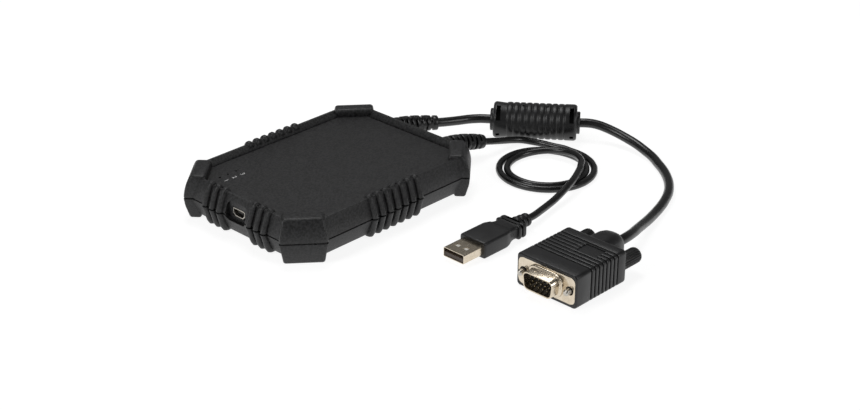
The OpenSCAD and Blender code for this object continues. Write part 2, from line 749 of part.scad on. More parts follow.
// Cable headers on the board, and the cable tails that run to them
header_h = 4.6;
header_len = 5.6;
header_end_gap = 4.9;
header_x = board_x1 - header_end_gap - header_len;
video_header_w = 15;
usb_header_w = 9;
module header(y, w) {
    color([0.9, 0.88, 0.82]) translate([header_x, y - w / 2, board_top]) difference() {
        cube([header_len, w, header_h]);
        translate([0.7, 0.7, header_h / 2]) cube([header_len - 2.4, w - 1.4, header_h]);
    }
}
module video_header() { header(video_exit_y, video_header_w); }
module usb_header() { header(usb_exit_y, usb_header_w); }

// Cylinder of radius r from one point to another
module rod(from, to, r) {
    d = to - from;
    translate(from) rotate([0, acos(d[2] / norm(d)), atan2(d[1], d[0])])
        cylinder(r = r, h = norm(d), $fn = small_fn);
}
wire_r = 0.5;
jacket_end_x = board_x1 + 0.8;
module cable_tail(y, d, wires, w) {
    color([0.1, 0.1, 0.1]) {
        translate([jacket_end_x, y, part_z]) rotate([0, 90, 0])
            cylinder(d = d, h = wall_in_x - flange_t - jacket_end_x, $fn = arc_fn);
        for (i = [0:wires - 1]) let (s = i - (wires - 1) / 2)
            rod([jacket_end_x + wire_r, y + s * (d - 2 * wire_r) / wires, part_z + wire_r],
                [header_x + header_len, y + s * (w - 4 * wire_r) / wires, board_top
                    + header_h / 2], wire_r * 0.8);
    }
}
module video_cable_tail() { cable_tail(video_exit_y, video_d, 6, video_header_w); }
module usb_cable_tail() { cable_tail(usb_exit_y, usb_d, 4, usb_header_w); }

module board_screws() {
    color([0.7, 0.7, 0.72]) at_stands() {
        difference() {
            translate([0, 0, board_top])
                cylinder(r = board_head_r, h = board_head_h, $fn = small_fn);
            translate([0, 0, board_top + board_head_h])
                cube([0.5, 1.5 * board_head_r, board_head_h], center = true);
            translate([0, 0, board_top + board_head_h])
                cube([1.5 * board_head_r, 0.5, board_head_h], center = true);
        }
        translate([0, 0, floor_z + 0.3])
            cylinder(r = board_screw_r, h = board_top - floor_z - 0.3, $fn = small_fn);
    }
}
module case_screws() {
    color([0.2, 0.2, 0.21]) at_posts() {
        difference() {
            translate([0, 0, foot_h + case_seat - case_head_h])
                cylinder(r = case_head_r, h = case_head_h, $fn = small_fn);
            translate([0, 0, foot_h + case_seat - case_head_h])
                cube([0.6, 1.5 * case_head_r, case_head_h], center = true);
            translate([0, 0, foot_h + case_seat - case_head_h])
                cube([1.5 * case_head_r, 0.6, case_head_h], center = true);
        }
        translate([0, 0, foot_h + case_seat])
            cylinder(r = case_screw_r, h = roof_z - over - 0.8 - foot_h - case_seat,
                $fn = small_fn);
    }
}

// Direction of travel at each point of a route
function headings(route) = [for (i = [0:len(route) - 1])
    unit(route[min(i + 1, len(route) - 1)] - route[max(i - 1, 0)])];

// Round ring across a route: the middle, the heading, the radius and the number of sides
function ring(p, heading, r, sides) =
    let (side = unit(cross(heading, [0, 0, 1])), up = cross(side, heading))
    [for (k = [0:sides - 1]) p + r * (cos(360 * k / sides) * side - sin(360 * k / sides) * up)];

// Round tube along a route, square to given headings at its two ends
module tube(route, r, sides, start, end) {
    h = headings(route);
    last = len(route) - 1;
    loft([for (i = [0:last])
        ring(route[i], i == 0 ? start : i == last ? end : h[i], r, sides)]);
}

// Point of a smooth bend through four guide points, at a share of its length
function bend(g, t) = (1 - t) ^ 3 * g[0] + 3 * t * (1 - t) ^ 2 * g[1]
    + 3 * t ^ 2 * (1 - t) * g[2] + t ^ 3 * g[3];
function bend_heading(g, t) = unit((1 - t) ^ 2 * (g[1] - g[0])
    + 2 * t * (1 - t) * (g[2] - g[1]) + t ^ 2 * (g[3] - g[2]));

// Ribbed strain relief: rings with grooves between them along a smooth bend
boot_groove = 0.9;
boot_step_shares = [0, 1.3, 0.6, 0.7];
module boot_sleeve(guides, cord_r) {
    steps = 4 * boot_ribs;
    loft([for (k = [0:steps])
        let (t = (k + boot_step_shares[k % 4]) / steps,
            r = boot_r + (boot_tip_r - boot_r) * t,
            low = k % 4 > 1 ? boot_groove : 0)
        ring(bend(guides, t), bend_heading(guides, t),
            k == steps ? (r + cord_r) / 2 : r - low, 16)]);
}
module boot(exit_y, guides, cord_r) {
    color([0.07, 0.07, 0.08]) {
        translate([wall_in_x - flange_t, exit_y, part_z]) rotate([0, 90, 0]) {
            cylinder(r = flange_r, h = flange_t, $fn = arc_fn);
            cylinder(r = neck_r, h = guides[0][0] - wall_in_x + flange_t + 0.4, $fn = arc_fn);
        }
        boot_sleeve(guides, cord_r);
    }
}
function tip(guides) = guides[3];
function tip_heading(guides) = bend_heading(guides, 1);
module video_boot() { boot(video_exit_y, video_boot_guides, video_d / 2); }
module usb_boot() { boot(usb_exit_y, usb_boot_guides, usb_d / 2); }

// Video cord in its two free stretches, and the stretch that the ferrite holds
video_lead_route = concat([tip(video_boot_guides)], video_lead_points,
    [ferrite_in - video_d * ferrite_axis, ferrite_in]);
video_run_route = concat([ferrite_out, ferrite_out + video_d * ferrite_axis], video_run_points,
    [vga_neck + [video_d, 0, 0], vga_neck]);
module video_cord_lead() {
    color([0.06, 0.06, 0.06]) tube(video_lead_route, video_d / 2, 8,
        tip_heading(video_boot_guides), ferrite_axis);
}
module video_cord_run() {
    color([0.06, 0.06, 0.06]) tube(video_run_route, video_d / 2, 8, ferrite_axis, [-1, 0, 0]);
}
module video_cord_in_ferrite() {
    color([0.06, 0.06, 0.06]) rod(ferrite_in, ferrite_out, video_d / 2);
}

// Puts a piece that lies along X on the ferrite's axis
module on_ferrite() {
    translate(ferrite_mid) rotate([0, 0, ferrite_yaw]) children();
}
ring_pitch = (ferrite_len - 4 * collar_t) / (ferrite_rings + 2);
ring_low = 0.45;
// Outline of the grip rings: from one end of the cover to the other
ferrite_outline = concat(
    [[-ferrite_half, video_d / 2 + fit_gap], [-ferrite_half, ferrite_collar_r],
        [-ferrite_len / 2, ferrite_collar_r], [-ferrite_len / 2, ferrite_r - 1],
        [-ferrite_len / 2 + 1, ferrite_r]],
    [for (i = [0:ferrite_rings - 1]) let (x = (i - (ferrite_rings - 1) / 2) * ring_pitch)
        each [[x - ring_pitch / 2, ferrite_r - ring_low], [x - ring_pitch / 4, ferrite_r],
            [x + ring_pitch / 6, ferrite_r]]],
    [[ferrite_rings / 2 * ring_pitch, ferrite_r - ring_low],
        [ferrite_rings / 2 * ring_pitch + ring_pitch / 4, ferrite_r],
        [ferrite_len / 2 - 1, ferrite_r], [ferrite_len / 2, ferrite_r - 1],
        [ferrite_len / 2, ferrite_collar_r], [ferrite_half, ferrite_collar_r],
        [ferrite_half, video_d / 2 + fit_gap]]);
core_gap = 0.1;
core_pocket = [[-core_len / 2 - core_gap, video_d / 2], [-core_len / 2 - core_gap,
    core_r + core_gap], [core_len / 2 + core_gap, core_r + core_gap],
    [core_len / 2 + core_gap, video_d / 2]];
slot_len = 6;
slot_w = 1.3;
peg_w = 1.1;
// Solid of revolution about X from an outline in X and radius
module turned(outline) {
    rotate([0, 90, 0]) rotate_extrude($fn = arc_fn)
        polygon([for (p = outline) [p[1], p[0]]]);
}
module ferrite_cover() {
    color([0.08, 0.08, 0.085]) on_ferrite() difference() {
        turned(ferrite_outline);
        turned(core_pocket);
        // Slots and pin marks that the mould leaves, on the upper front and on the far side
        for (tilt = [-60, 120]) rotate([tilt, 0, 0]) {
            for (end = [-1, 1]) {
                translate([end * (ferrite_len / 2 - 2.6), 0, ferrite_r])
                    cube([slot_w, slot_len, 2 * (ferrite_r - core_r)], center = true);
                rotate([-70, 0, 0])
                    translate([end * (ferrite_len / 2 - 3), 0, ferrite_r])
                        cube([peg_w, peg_w, ferrite_r - core_r], center = true);
                rotate([22, 0, 0])
                    translate([end * ring_pitch * 2.5, 0, ferrite_r])
                        cube([peg_w, peg_w, ferrite_r - core_r], center = true);
            }
        }
    }
}
module ferrite_core() {
    color([0.22, 0.21, 0.21]) on_ferrite() turned([[-core_len / 2, video_d / 2 + fit_gap],
        [-core_len / 2, core_r - 0.5], [-core_len / 2 + 0.5, core_r],
        [core_len / 2 - 0.5, core_r], [core_len / 2, core_r - 0.5],
        [core_len / 2, video_d / 2 + fit_gap]]);
}

// USB coil: a flat spiral, turning clockwise from above and inwards, whose end climbs
function coil_point(t) =
    let (a = coil_start - 360 * t,
        k = min(max((t - coil_turns + coil_rise_turns) / coil_rise_turns, 0), 1),
        climbed = k * k * (3 - 2 * k),
        r = coil_r - coil_step * t + coil_drift * climbed * climbed)
    [coil_mid[0] + r * cos(a), coil_mid[1] + r * sin(a), usb_d / 2 + coil_rise * climbed];
coil_rings = ceil(coil_turns * coil_loop_rings);
coil_route = [for (i = [0:coil_rings]) coil_point(coil_turns * i / coil_rings)];
coil_in = unit(coil_route[1] - coil_route[0]);
coil_out = unit(coil_route[coil_rings] - coil_route[coil_rings - 1]);
coil_in_flat = unit([coil_in[0], coil_in[1], 0]);
coil_out_flat = unit([coil_out[0], coil_out[1], 0]);
coil_gap = min([for (i = [0:coil_rings]) for (j = [i + coil_loop_rings / 2:coil_rings])
    norm(coil_route[i] - coil_route[j])]) - usb_d;
echo(str("least gap of the coil to itself ", coil_gap, " mm"));
module usb_cord_coil() {
    color([0.06, 0.06, 0.06]) tube(coil_route, usb_d / 2, 6, coil_in_flat, coil_out_flat);
}
usb_plug_end = usb_plug_at + [shell_len + grip_len + grip_boot, 0, 0];
usb_lead_route = concat([tip(usb_boot_guides)], usb_lead_points,
    [coil_route[0] - usb_d * coil_in_flat, coil_route[0]]);
usb_tail_route = concat([coil_route[coil_rings], coil_route[coil_rings] + usb_d * coil_out_flat],
    usb_tail_points, [usb_plug_end + [usb_d, 0, 0], usb_plug_end]);
module usb_cord_lead() {
    color([0.06, 0.06, 0.06]) tube(usb_lead_route, usb_d / 2, 8,
        tip_heading(usb_boot_guides), coil_in_flat);
}
module usb_cord_tail() {
    color([0.06, 0.06, 0.06]) tube(usb_tail_route, usb_d / 2, 8, coil_out_flat, [-1, 0, 0]);
}

// USB-A plug, built from its open end backwards along X
module at_usb_plug() {
    translate(usb_plug_at) children();
}
grip_x0 = shell_len;
grip_flange_x = grip_x0 + grip_len - 4.5;
// Plan of one side of the grip: straight, then drawn in to a waist before the flange
grip_plan = [[0, 0.5], [0.52, 0.5], [0.6, 0.485], [0.7, 0.45], [0.78, 0.425], [0.86, 0.42]];
grip_side = [[0, 0.5], [0.58, 0.5], [0.68, 0.46], [0.86, 0.42]];
function both_sides(shares, length, size) = concat(
    [for (p = shares) [p[0] * length, p[1] * size]],
    [for (i = [len(shares) - 1:-1:0]) [shares[i][0] * length, -shares[i][1] * size]]);
module usb_plug_grip() {
    color([0.07, 0.07, 0.08]) at_usb_plug() difference() {
        union() {
            intersection() {
                translate([grip_x0 + grip_len / 2, 0, 0])
                    along_x(round_rect(grip_w, grip_h, grip_edge_r), grip_len);
                translate([grip_x0, 0, 0]) {
                    linear_extrude(grip_h, center = true)
                        polygon(both_sides(grip_plan, grip_len, grip_w));
                }
                translate([grip_x0, 0, 0])
                    along_y(both_sides(grip_side, grip_len, grip_h), grip_w);
            }
            for (x = [0, 2.5]) translate([grip_flange_x + x + 1, 0, 0])
                along_x(round_rect(flange_w, flange_h, 1.6), 1.6);
            translate([grip_flange_x + 2, 0, 0])
                along_x(round_rect(flange_w * 0.6, flange_h * 0.85, 1.6), 4.6);
            translate([grip_x0 + grip_len - 0.5, 0, 0]) turned(grip_boot_outline);
        }
        translate([shell_len / 2 + shell_seat / 2 + fit_gap / 2, 0, 0])
            cube([shell_len + shell_seat + fit_gap, shell_w, shell_h], center = true);
    }
}
// Outline of the cord boot: a taper with five grip rings
grip_boot_outline = concat([[0, 0], [0, 3.4]],
    [for (i = [0:4]) let (r = 3.5 - 0.22 * i) each [
        [(i + 0.25) * grip_boot_step, r - 0.7], [(i + 0.45) * grip_boot_step, r],
        [(i + 0.95) * grip_boot_step, r]]],
    [[grip_boot + 0.5, 2.2], [grip_boot + 0.5, 0]]);
hole_w = 2.4;
hole_len = 2.2;
hole_x = 5.4;
hole_y = 2.4;
module usb_plug_shell() {
    color([0.83, 0.82, 0.8]) at_usb_plug() difference() {
        translate([(shell_len + shell_seat) / 2, 0, 0])
            along_x(round_rect(shell_w - slice, shell_h - slice, 0.5, 3), shell_len + shell_seat);
        translate([(shell_len + shell_seat) / 2 - shell_t, 0, 0])
            along_x(round_rect(shell_w - 2 * shell_t, shell_h - 2 * shell_t, 0.25, 3),
                shell_len + shell_seat);
        for (side = [-1, 1]) translate([hole_x, side * hole_y, 0])
            cube([hole_len, hole_w, 2 * shell_h], center = true);
    }
}
tongue_len = shell_len + shell_seat - 2 * shell_t - 0.4;
module usb_plug_tongue() {
    color([0.9, 0.9, 0.88]) at_usb_plug()
        translate([0.4, -shell_w / 2 + shell_t + fit_gap, -tongue_drop - tongue_h / 2])
            cube([tongue_len, shell_w - 2 * shell_t - 2 * fit_gap, tongue_h]);
}
contact_pitch = 2.3;
contact_w = 1;
contact_t = 0.2;
module usb_plug_contacts() {
    color([0.85, 0.7, 0.35]) at_usb_plug() for (i = [-1.5:1.5])
        translate([1.2, i * contact_pitch - contact_w / 2, -tongue_drop + tongue_h / 2])
            cube([tongue_len - 4, contact_w, contact_t]);
}

// VGA plug, built from its flange plate backwards along X
module at_vga() {
    translate(vga_at) children();
}
// D outline: wider at the top, its sides leaning in by a share of the width
function d_outline(w, h, r) = rounded([[-w / 2 + w * collar_slope_share, -h / 2],
    [w / 2 - w * collar_slope_share, -h / 2], [w / 2, h / 2], [-w / 2, h / 2]],
    [r, r, r, r], 5);
module screw_holes(r, from, to) {
    for (side = [-1, 1]) translate([from, side * screw_gap / 2, 0]) rotate([0, 90, 0])
        cylinder(r = r, h = to - from, $fn = arc_fn);
}
hump_plan = [[0, 0.5], [0.45, 0.5], [0.62, 0.47], [0.76, 0.4], [0.86, 0.32], [0.94, 0.25],
    [1, 0.22]];
module vga_hood() {
    color([0.08, 0.08, 0.09]) at_vga() difference() {
        union() {
            difference() {
                translate([hood_len / 2, 0, 0])
                    along_x(round_rect(hood_w, hood_h, hood_edge_r), hood_len);
                difference() {
                    for (i = [0:hood_ribs - 1])
                        translate([hood_rib_x + i * hood_rib_pitch, 0, 0])
                            cube([hood_groove_w, 2 * hood_w, 2 * hood_h], center = true);
                    translate([hood_len / 2, 0, 0])
                        along_x(round_rect(hood_w - 2 * hood_groove_d,
                            hood_h - 2 * hood_groove_d, hood_edge_r), hood_len);
                    translate([pad_x, -pad_w, 0]) cube([pad_len, pad_w, hood_h]);
                }
            }
            intersection() {
                translate([hood_len + hump_len / 2, 0, 0])
                    along_x(round_rect(hump_w, hump_h, hump_h * 0.42), hump_len + 2 * over);
                translate([hood_len, 0, 0]) {
                    linear_extrude(hood_h, center = true)
                        polygon(both_sides(hump_plan, hump_len, hump_w));
                }
                translate([hood_len, 0, 0])
                    along_y(both_sides(hump_plan, hump_len, hump_h), hood_w);
            }
        }
        screw_holes(shank_r + shank_gap, -over, hood_len + over);
        translate([plate_t / 2 - over / 2, 0, 0])
            along_x(round_rect(plate_w + slice, plate_h + slice, plate_r), plate_t + over);
        translate([plate_t / 2, 0, 0])
            along_x(d_outline(collar_w - 2 * collar_t_wall, collar_h - 2 * collar_t_wall,
                collar_r - collar_t_wall), 2 * block_len);
    }
}
block_len = 6;
module vga_shell() {
    color([0.86, 0.83, 0.78]) at_vga() difference() {
        union() {
            translate([plate_t / 2, 0, 0])
                along_x(round_rect(plate_w, plate_h, plate_r), plate_t);
            translate([-step_len / 2 + slice, 0, 0])
                along_x(d_outline(collar_w + 2 * step_out, collar_h + 2 * step_out,
                    collar_r + step_out), step_len);
            translate([-collar_len / 2, 0, 0])
                along_x(d_outline(collar_w, collar_h, collar_r), collar_len);
            for (i = [-1:1]) translate([-collar_len * 0.55, i * collar_w * 0.22,
                collar_h / 2 - 0.45]) sphere(r = 0.8, $fn = small_fn);
        }
        along_x(d_outline(collar_w - 2 * collar_t_wall, collar_h - 2 * collar_t_wall,
            collar_r - collar_t_wall), 4 * collar_len);
        screw_holes(screw_r + turn_gap, -over, plate_t + over);
    }
}
module vga_insulator() {
    color([0.06, 0.06, 0.07]) at_vga() translate([block_len / 2 - collar_len * 0.2, 0, 0])
        along_x(d_outline(collar_w - 2 * collar_t_wall - slice,
            collar_h - 2 * collar_t_wall - slice, collar_r - collar_t_wall), block_len);
}
pin_front = -collar_len * 0.82;
pin_back = -collar_len * 0.2;
module vga_pins() {
    color([0.85, 0.72, 0.4]) at_vga() for (row = [-1:1], i = [-2:2])
        translate([pin_front, i * pin_pitch + (row == 0 ? -pin_pitch / 4 : pin_pitch / 4),
            -row * pin_row]) rotate([0, 90, 0]) {
            translate([0, 0, pin_r / 2]) cylinder(r = pin_r,
                h = pin_back - pin_front - pin_r / 2, $fn = small_fn);
            cylinder(r1 = pin_r / 2, r2 = pin_r, h = pin_r / 2, $fn = small_fn);
        }
}

// Jackscrew with a pointed tip, and its fluted thumb knob
knob_x = hood_len + turn_gap;
shank_r = screw_r - 0.05;
shank_gap = 0.08;
relief_r = 1.1;
module jackscrew(side) {
    color([0.83, 0.8, 0.74]) at_vga() translate([0, side * screw_gap / 2, 0])
        turned([[-screw_tip, 0], [-screw_tip, screw_r * 0.6], [-screw_tip + screw_r * 0.5,
            screw_r], [0, screw_r], [0, relief_r], [plate_t, relief_r], [plate_t, shank_r],
            [knob_x + knob_len / 2, shank_r],
            [knob_x + knob_len / 2, 0]]);
}
function fluted(r, depth, count) = [for (k = [0:4 * count - 1])
    let (a = 90 * k / count, rr = k % 4 < 2 ? r : r - depth) rr * [cos(a), sin(a)]];
module screw_knob(side) {
    color([0.07, 0.07, 0.07]) at_vga()
        translate([knob_x, side * screw_gap / 2, 0]) difference() {
            intersection() {
                rotate([0, 90, 0]) linear_extrude(knob_len)
                    polygon(fluted(knob_r, knob_flute_d, knob_flutes));
                turned([[0, 0], [0, knob_r - 0.5], [0.5, knob_r + 0.1],
                    [knob_len - 0.8, knob_r + 0.1], [knob_len, knob_r - 0.7], [knob_len, 0]]);
            }
            rotate([0, 90, 0]) translate([0, 0, -over])
                cylinder(r = shank_r, h = knob_len / 2 + over, $fn = arc_fn);
            translate([knob_len, 0, 0])
                cube([1.6, 2 * knob_r - 2, 0.9], center = true);
        }
}
module jackscrew_left() { jackscrew(1); }
module jackscrew_right() { jackscrew(-1); }
module screw_knob_left() { screw_knob(1); }
module screw_knob_right() { screw_knob(-1); }

top_cover();
bottom_cover();
main_board();
video_processor();
video_digitizer();
usb_controller();
memory_chips();
crystals();
capacitors();
inductors();
voltage_regulators();
small_passives();
mini_usb_shell();
mini_usb_insulator();
mini_usb_contacts();
status_leds();
light_pipes();
video_header();
usb_header();
video_cable_tail();
usb_cable_tail();
board_screws();
case_screws();
video_boot();
usb_boot();
video_cord_lead();
video_cord_in_ferrite();
video_cord_run();
ferrite_cover();
ferrite_core();
usb_cord_lead();
usb_cord_coil();
usb_cord_tail();
usb_plug_grip();
usb_plug_shell();
usb_plug_tongue();
usb_plug_contacts();
vga_hood();
vga_shell();
vga_insulator();
vga_pins();
jackscrew_left();
jackscrew_right();
screw_knob_left();
screw_knob_right();
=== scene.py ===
"""Crash cart adapter: a guarded octagonal box, a video cord with a ferrite and a VGA plug,
and a USB cord with a coil and a USB-A plug. Sizes are in millimetres until a piece is finished."""
from math import acos, atan2, ceil, cos, pi, radians, sin, tan

import bmesh
import bpy
from mathutils import Matrix, Vector


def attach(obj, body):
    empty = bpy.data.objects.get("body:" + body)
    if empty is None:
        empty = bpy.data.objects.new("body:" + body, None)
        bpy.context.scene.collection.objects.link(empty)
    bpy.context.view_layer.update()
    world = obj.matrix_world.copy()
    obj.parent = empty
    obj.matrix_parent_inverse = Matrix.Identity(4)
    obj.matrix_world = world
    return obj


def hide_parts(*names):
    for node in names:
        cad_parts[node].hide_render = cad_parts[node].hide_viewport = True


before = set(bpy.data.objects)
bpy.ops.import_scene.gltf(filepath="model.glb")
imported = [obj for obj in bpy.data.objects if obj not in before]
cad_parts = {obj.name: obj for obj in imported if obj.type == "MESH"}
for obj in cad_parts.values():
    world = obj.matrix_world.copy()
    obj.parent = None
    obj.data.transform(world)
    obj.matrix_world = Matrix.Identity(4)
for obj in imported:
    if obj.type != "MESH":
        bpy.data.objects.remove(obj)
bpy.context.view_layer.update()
MM = 0.001
ADAPTER = "adapter"

# ---------------------------------------------------------------- camera
# Fitted to points of the box and the plugs. AXIS_PX is where the lens axis meets the photo.
PHOTO_W, PHOTO_H = 860, 410
SENSOR_W = 36
FOCAL_PX = 1704.1
AXIS_PX = (420.57, 205.65)
CAMERA_AT = (-482.4, -526.2, 354.6)
TILT, YAW = 26.686, -45.865
camera_data = bpy.data.cameras.new("photo_camera")
camera_data.sensor_fit = "HORIZONTAL"
camera_data.sensor_width = SENSOR_W
camera_data.lens = FOCAL_PX / PHOTO_W * SENSOR_W
camera_data.shift_x = (PHOTO_W / 2 - AXIS_PX[0]) / PHOTO_W
camera_data.shift_y = (AXIS_PX[1] - PHOTO_H / 2) / PHOTO_W
camera_data.clip_start = 0.01
camera = bpy.data.objects.new("photo_camera", camera_data)
camera.location = Vector(CAMERA_AT) * MM
camera.rotation_euler = (radians(90 - TILT), 0, radians(YAW))
bpy.context.collection.objects.link(camera)
bpy.context.scene.camera = camera
bpy.context.scene.view_settings.view_transform = "Standard"


# ---------------------------------------------------------------- materials
def colour(hex_text):
    """Linear colour from an sRGB hex value."""
    parts = [int(hex_text[i:i + 2], 16) / 255 for i in (1, 3, 5)]
    return tuple(c / 12.92 if c <= 0.04045 else ((c + 0.055) / 1.055) ** 2.4 for c in parts) + (1,)


def add(tree, kind, inputs=None, **settings):
    """Adds one node. An input takes a value, or another node's output socket, which is linked."""
    made = tree.nodes.new(kind)
    for key, value in settings.items():
        setattr(made, key, value)
    for key, value in (inputs or {}).items():
        if isinstance(value, bpy.types.NodeSocket):
            tree.links.new(value, made.inputs[key])
        else:
            made.inputs[key].default_value = value
    return made


def per_mm(size):
    """Texture scale at which one cell is this many millimetres."""
    return 1 / (size * MM)


def begin(name):
    """Empty material, its tree and its Object coordinates."""
    made = bpy.data.materials.new(name)
    made.use_nodes = True
    made.node_tree.nodes.clear()
    return made, made.node_tree, add(made.node_tree, "ShaderNodeTexCoord").outputs["Object"]


def close(tree, shader):
    """Gives the finished shader to the surface."""
    add(tree, "ShaderNodeOutputMaterial", {"Surface": shader.outputs[0]})


PLASTIC = {"IOR": 1.53}
METAL = {"Metallic": 1.0}
MIDDLE = (0.3, 0.7)


def blended(name, cell, shades, dulls, surface, detail=2.0, spread=(0, 1), bump=None, skin=None):
    """Material in which one noise blends two shades and two roughnesses, and may raise a bump.

    cell is the noise's size in millimetres, and spread is the part of its range between the two
    roughnesses. bump is a depth in millimetres and a strength. skin is the size of the finer
    noise that the bump takes instead.
    """
    made, tree, place = begin(name)
    noise = add(tree, "ShaderNodeTexNoise", {"Vector": place, "Scale": per_mm(cell),
                                             "Detail": detail}).outputs["Fac"]
    shade = add(tree, "ShaderNodeMix",
                {"Factor": noise, 6: colour(shades[0]), 7: colour(shades[1])},
                data_type="RGBA").outputs[2]
    dull = add(tree, "ShaderNodeMapRange",
               {"Value": noise, "From Min": spread[0], "From Max": spread[1],
                "To Min": dulls[0], "To Max": dulls[1]}).outputs[0]
    inputs = {"Base Color": shade, "Roughness": dull, **surface}
    if skin:
        noise = add(tree, "ShaderNodeTexNoise", {"Vector": place, "Scale": per_mm(skin),
                                                 "Detail": 2.0}).outputs["Fac"]
    if bump:
        inputs["Normal"] = add(tree, "ShaderNodeBump",
                               {"Height": noise, "Distance": bump[0] * MM,
                                "Strength": bump[1]}).outputs[0]
    close(tree, add(tree, "ShaderNodeBsdfPrincipled", inputs))
    return made


# Moulded ABS with a spark-eroded grain: near black, with a soft, wide highlight. The grain is
# 0.3 mm on the real box, and is drawn 1 mm coarse so that it shows.
moulded_abs, t, place = begin("moulded_abs")
grain = add(t, "ShaderNodeTexNoise", {"Vector": place, "Scale": per_mm(1), "Detail": 4.0,
                                      "Roughness": 0.65}).outputs["Fac"]
speckle = add(t, "ShaderNodeMapRange", {"Value": grain, "From Min": 0.43,
                                        "From Max": 0.57}).outputs[0]
shade = add(t, "ShaderNodeMix", {"Factor": speckle, 6: colour("#050506"), 7: colour("#2b2b2c")},
            data_type="RGBA").outputs[2]
dull = add(t, "ShaderNodeMapRange", {"Value": grain, "To Min": 0.4, "To Max": 0.52}).outputs[0]
bump = add(t, "ShaderNodeBump", {"Height": grain, "Distance": 0.16 * MM,
                                 "Strength": 0.9}).outputs[0]
close(t, add(t, "ShaderNodeBsdfPrincipled", {"Base Color": shade, "Roughness": dull,
                                             "Normal": bump, "IOR": 1.5}))

# Moulded satin PVC of the plugs and the ferrite's sleeve: smoother and a little bluer than the
# box, with the faint clouding of a flexible moulding and a fine skin.
moulded_pvc = blended("moulded_pvc", 6, ("#09090a", "#151517"), (0.36, 0.46), PLASTIC,
                      detail=3.0, spread=MIDDLE, bump=(0.012, 0.6), skin=0.6)

# Soft moulded PVC of the strain reliefs: darker and glossier, with drag marks from the mould.
boot_pvc = blended("boot_pvc", 1.6, ("#080809", "#161617"), (0.3, 0.44), PLASTIC,
                   detail=3.0, spread=MIDDLE, bump=(0.02, 0.6))

# Extruded PVC jacket: black with a narrow highlight, over the slow lumps of the wires inside.
cord_pvc = blended("cord_pvc", 5, ("#080808", "#141415"), (0.25, 0.36),
                   {**PLASTIC, "Coat Weight": 0.12, "Coat Roughness": 0.2},
                   spread=MIDDLE, bump=(0.05, 0.5))

# Moulded nylon of the thumb knobs: dull black, with a dusty bloom in the flutes.
knob_nylon = blended("knob_nylon", 0.9, ("#070707", "#131314"), (0.38, 0.52), PLASTIC,
                     detail=3.0, spread=MIDDLE, bump=(0.02, 0.5))

# Nickel plate on drawn steel: warm grey metal with fine drawing lines along X and a few stains.
nickel_plate, t, place = begin("nickel_plate")
drawn = add(t, "ShaderNodeMapping", {"Vector": place, "Scale": (0.12, 1.0, 1.0)}).outputs[0]
lines = add(t, "ShaderNodeTexNoise", {"Vector": drawn, "Scale": per_mm(0.4),
                                      "Detail": 3.0}).outputs["Fac"]
stain = add(t, "ShaderNodeTexNoise", {"Vector": place, "Scale": per_mm(2.5),
                                      "Detail": 3.0}).outputs["Fac"]
shade = add(t, "ShaderNodeMix", {"Factor": stain, 6: colour("#c4b69f"), 7: colour("#eadfcd")},
            data_type="RGBA").outputs[2]
dull = add(t, "ShaderNodeMapRange", {"Value": lines, "From Min": 0.3, "From Max": 0.7,
                                     "To Min": 0.16, "To Max": 0.28}).outputs[0]
bump = add(t, "ShaderNodeBump", {"Height": lines, "Distance": 0.005 * MM,
                                 "Strength": 0.5}).outputs[0]
close(t, add(t, "ShaderNodeBsdfPrincipled", {"Base Color": shade, "Roughness": dull,
                                             "Normal": bump, "Metallic": 1.0}))

# Gold flash on brass pins: yellow metal, slightly brushed, darkened from a pale gold as painted
# shade for the pins' shafts in the shadow of the shell.
gold_plate = blended("gold_plate", 0.3, ("#94876a", "#beb294"), (0.14, 0.28), METAL)

# Moulded black nylon of the connector blocks: matt and even, a touch brown.
black_nylon = blended("black_nylon", 0.5, ("#0e0c0c", "#1a1717"), (0.45, 0.6), PLASTIC)

# Moulded white nylon of the board headers and the USB plug's pads: warm white, slightly waxy.
white_nylon = blended("white_nylon", 1.1, ("#d6d2c8", "#efede7"), (0.35, 0.5), PLASTIC)

# Moulded nylon of the USB plug's tongue, coloured grey brown as painted shade from its shell, with
# a warm painted reflection of the shell's metal.
tongue_painted_shade = blended("tongue_painted_shade", 1.4, ("#463a31", "#62544a"), (0.35, 0.5), PLASTIC)

# Cast smoked acrylic of the light pipes: nearly black and glossy.
smoked_acrylic = blended("smoked_acrylic", 0.6, ("#080809", "#131314"), (0.1, 0.22),
                         {"IOR": 1.49})

# Solder mask over glass fibre: green gloss, with the tracks showing through as paler squares.
circuit_board, t, place = begin("circuit_board")
tracks = add(t, "ShaderNodeTexBrick", {"Vector": place, "Scale": per_mm(3), "Mortar Size": 0.04,
                                       "Color1": colour("#0f3b22"), "Color2": colour("#134527"),
                                       "Mortar": colour("#2a6b45")}).outputs["Color"]
weave = add(t, "ShaderNodeTexNoise", {"Vector": place, "Scale": per_mm(0.5)}).outputs["Fac"]
dull = add(t, "ShaderNodeMapRange", {"Value": weave, "To Min": 0.24, "To Max": 0.4}).outputs[0]
close(t, add(t, "ShaderNodeBsdfPrincipled", {"Base Color": tracks, "Roughness": dull,
                                             "IOR": 1.5}))

# Moulded epoxy chips: matt charcoal with a fine filler.
chip_epoxy = blended("chip_epoxy", 0.4, ("#161617", "#2a2a2b"), (0.5, 0.65), {"IOR": 1.55})

# Drawn aluminium cans: bright and smooth, with light scuffs.
drawn_aluminium = blended("drawn_aluminium", 0.8, ("#b6b6b6", "#dcdcdc"), (0.22, 0.38), METAL,
                          detail=3.0)

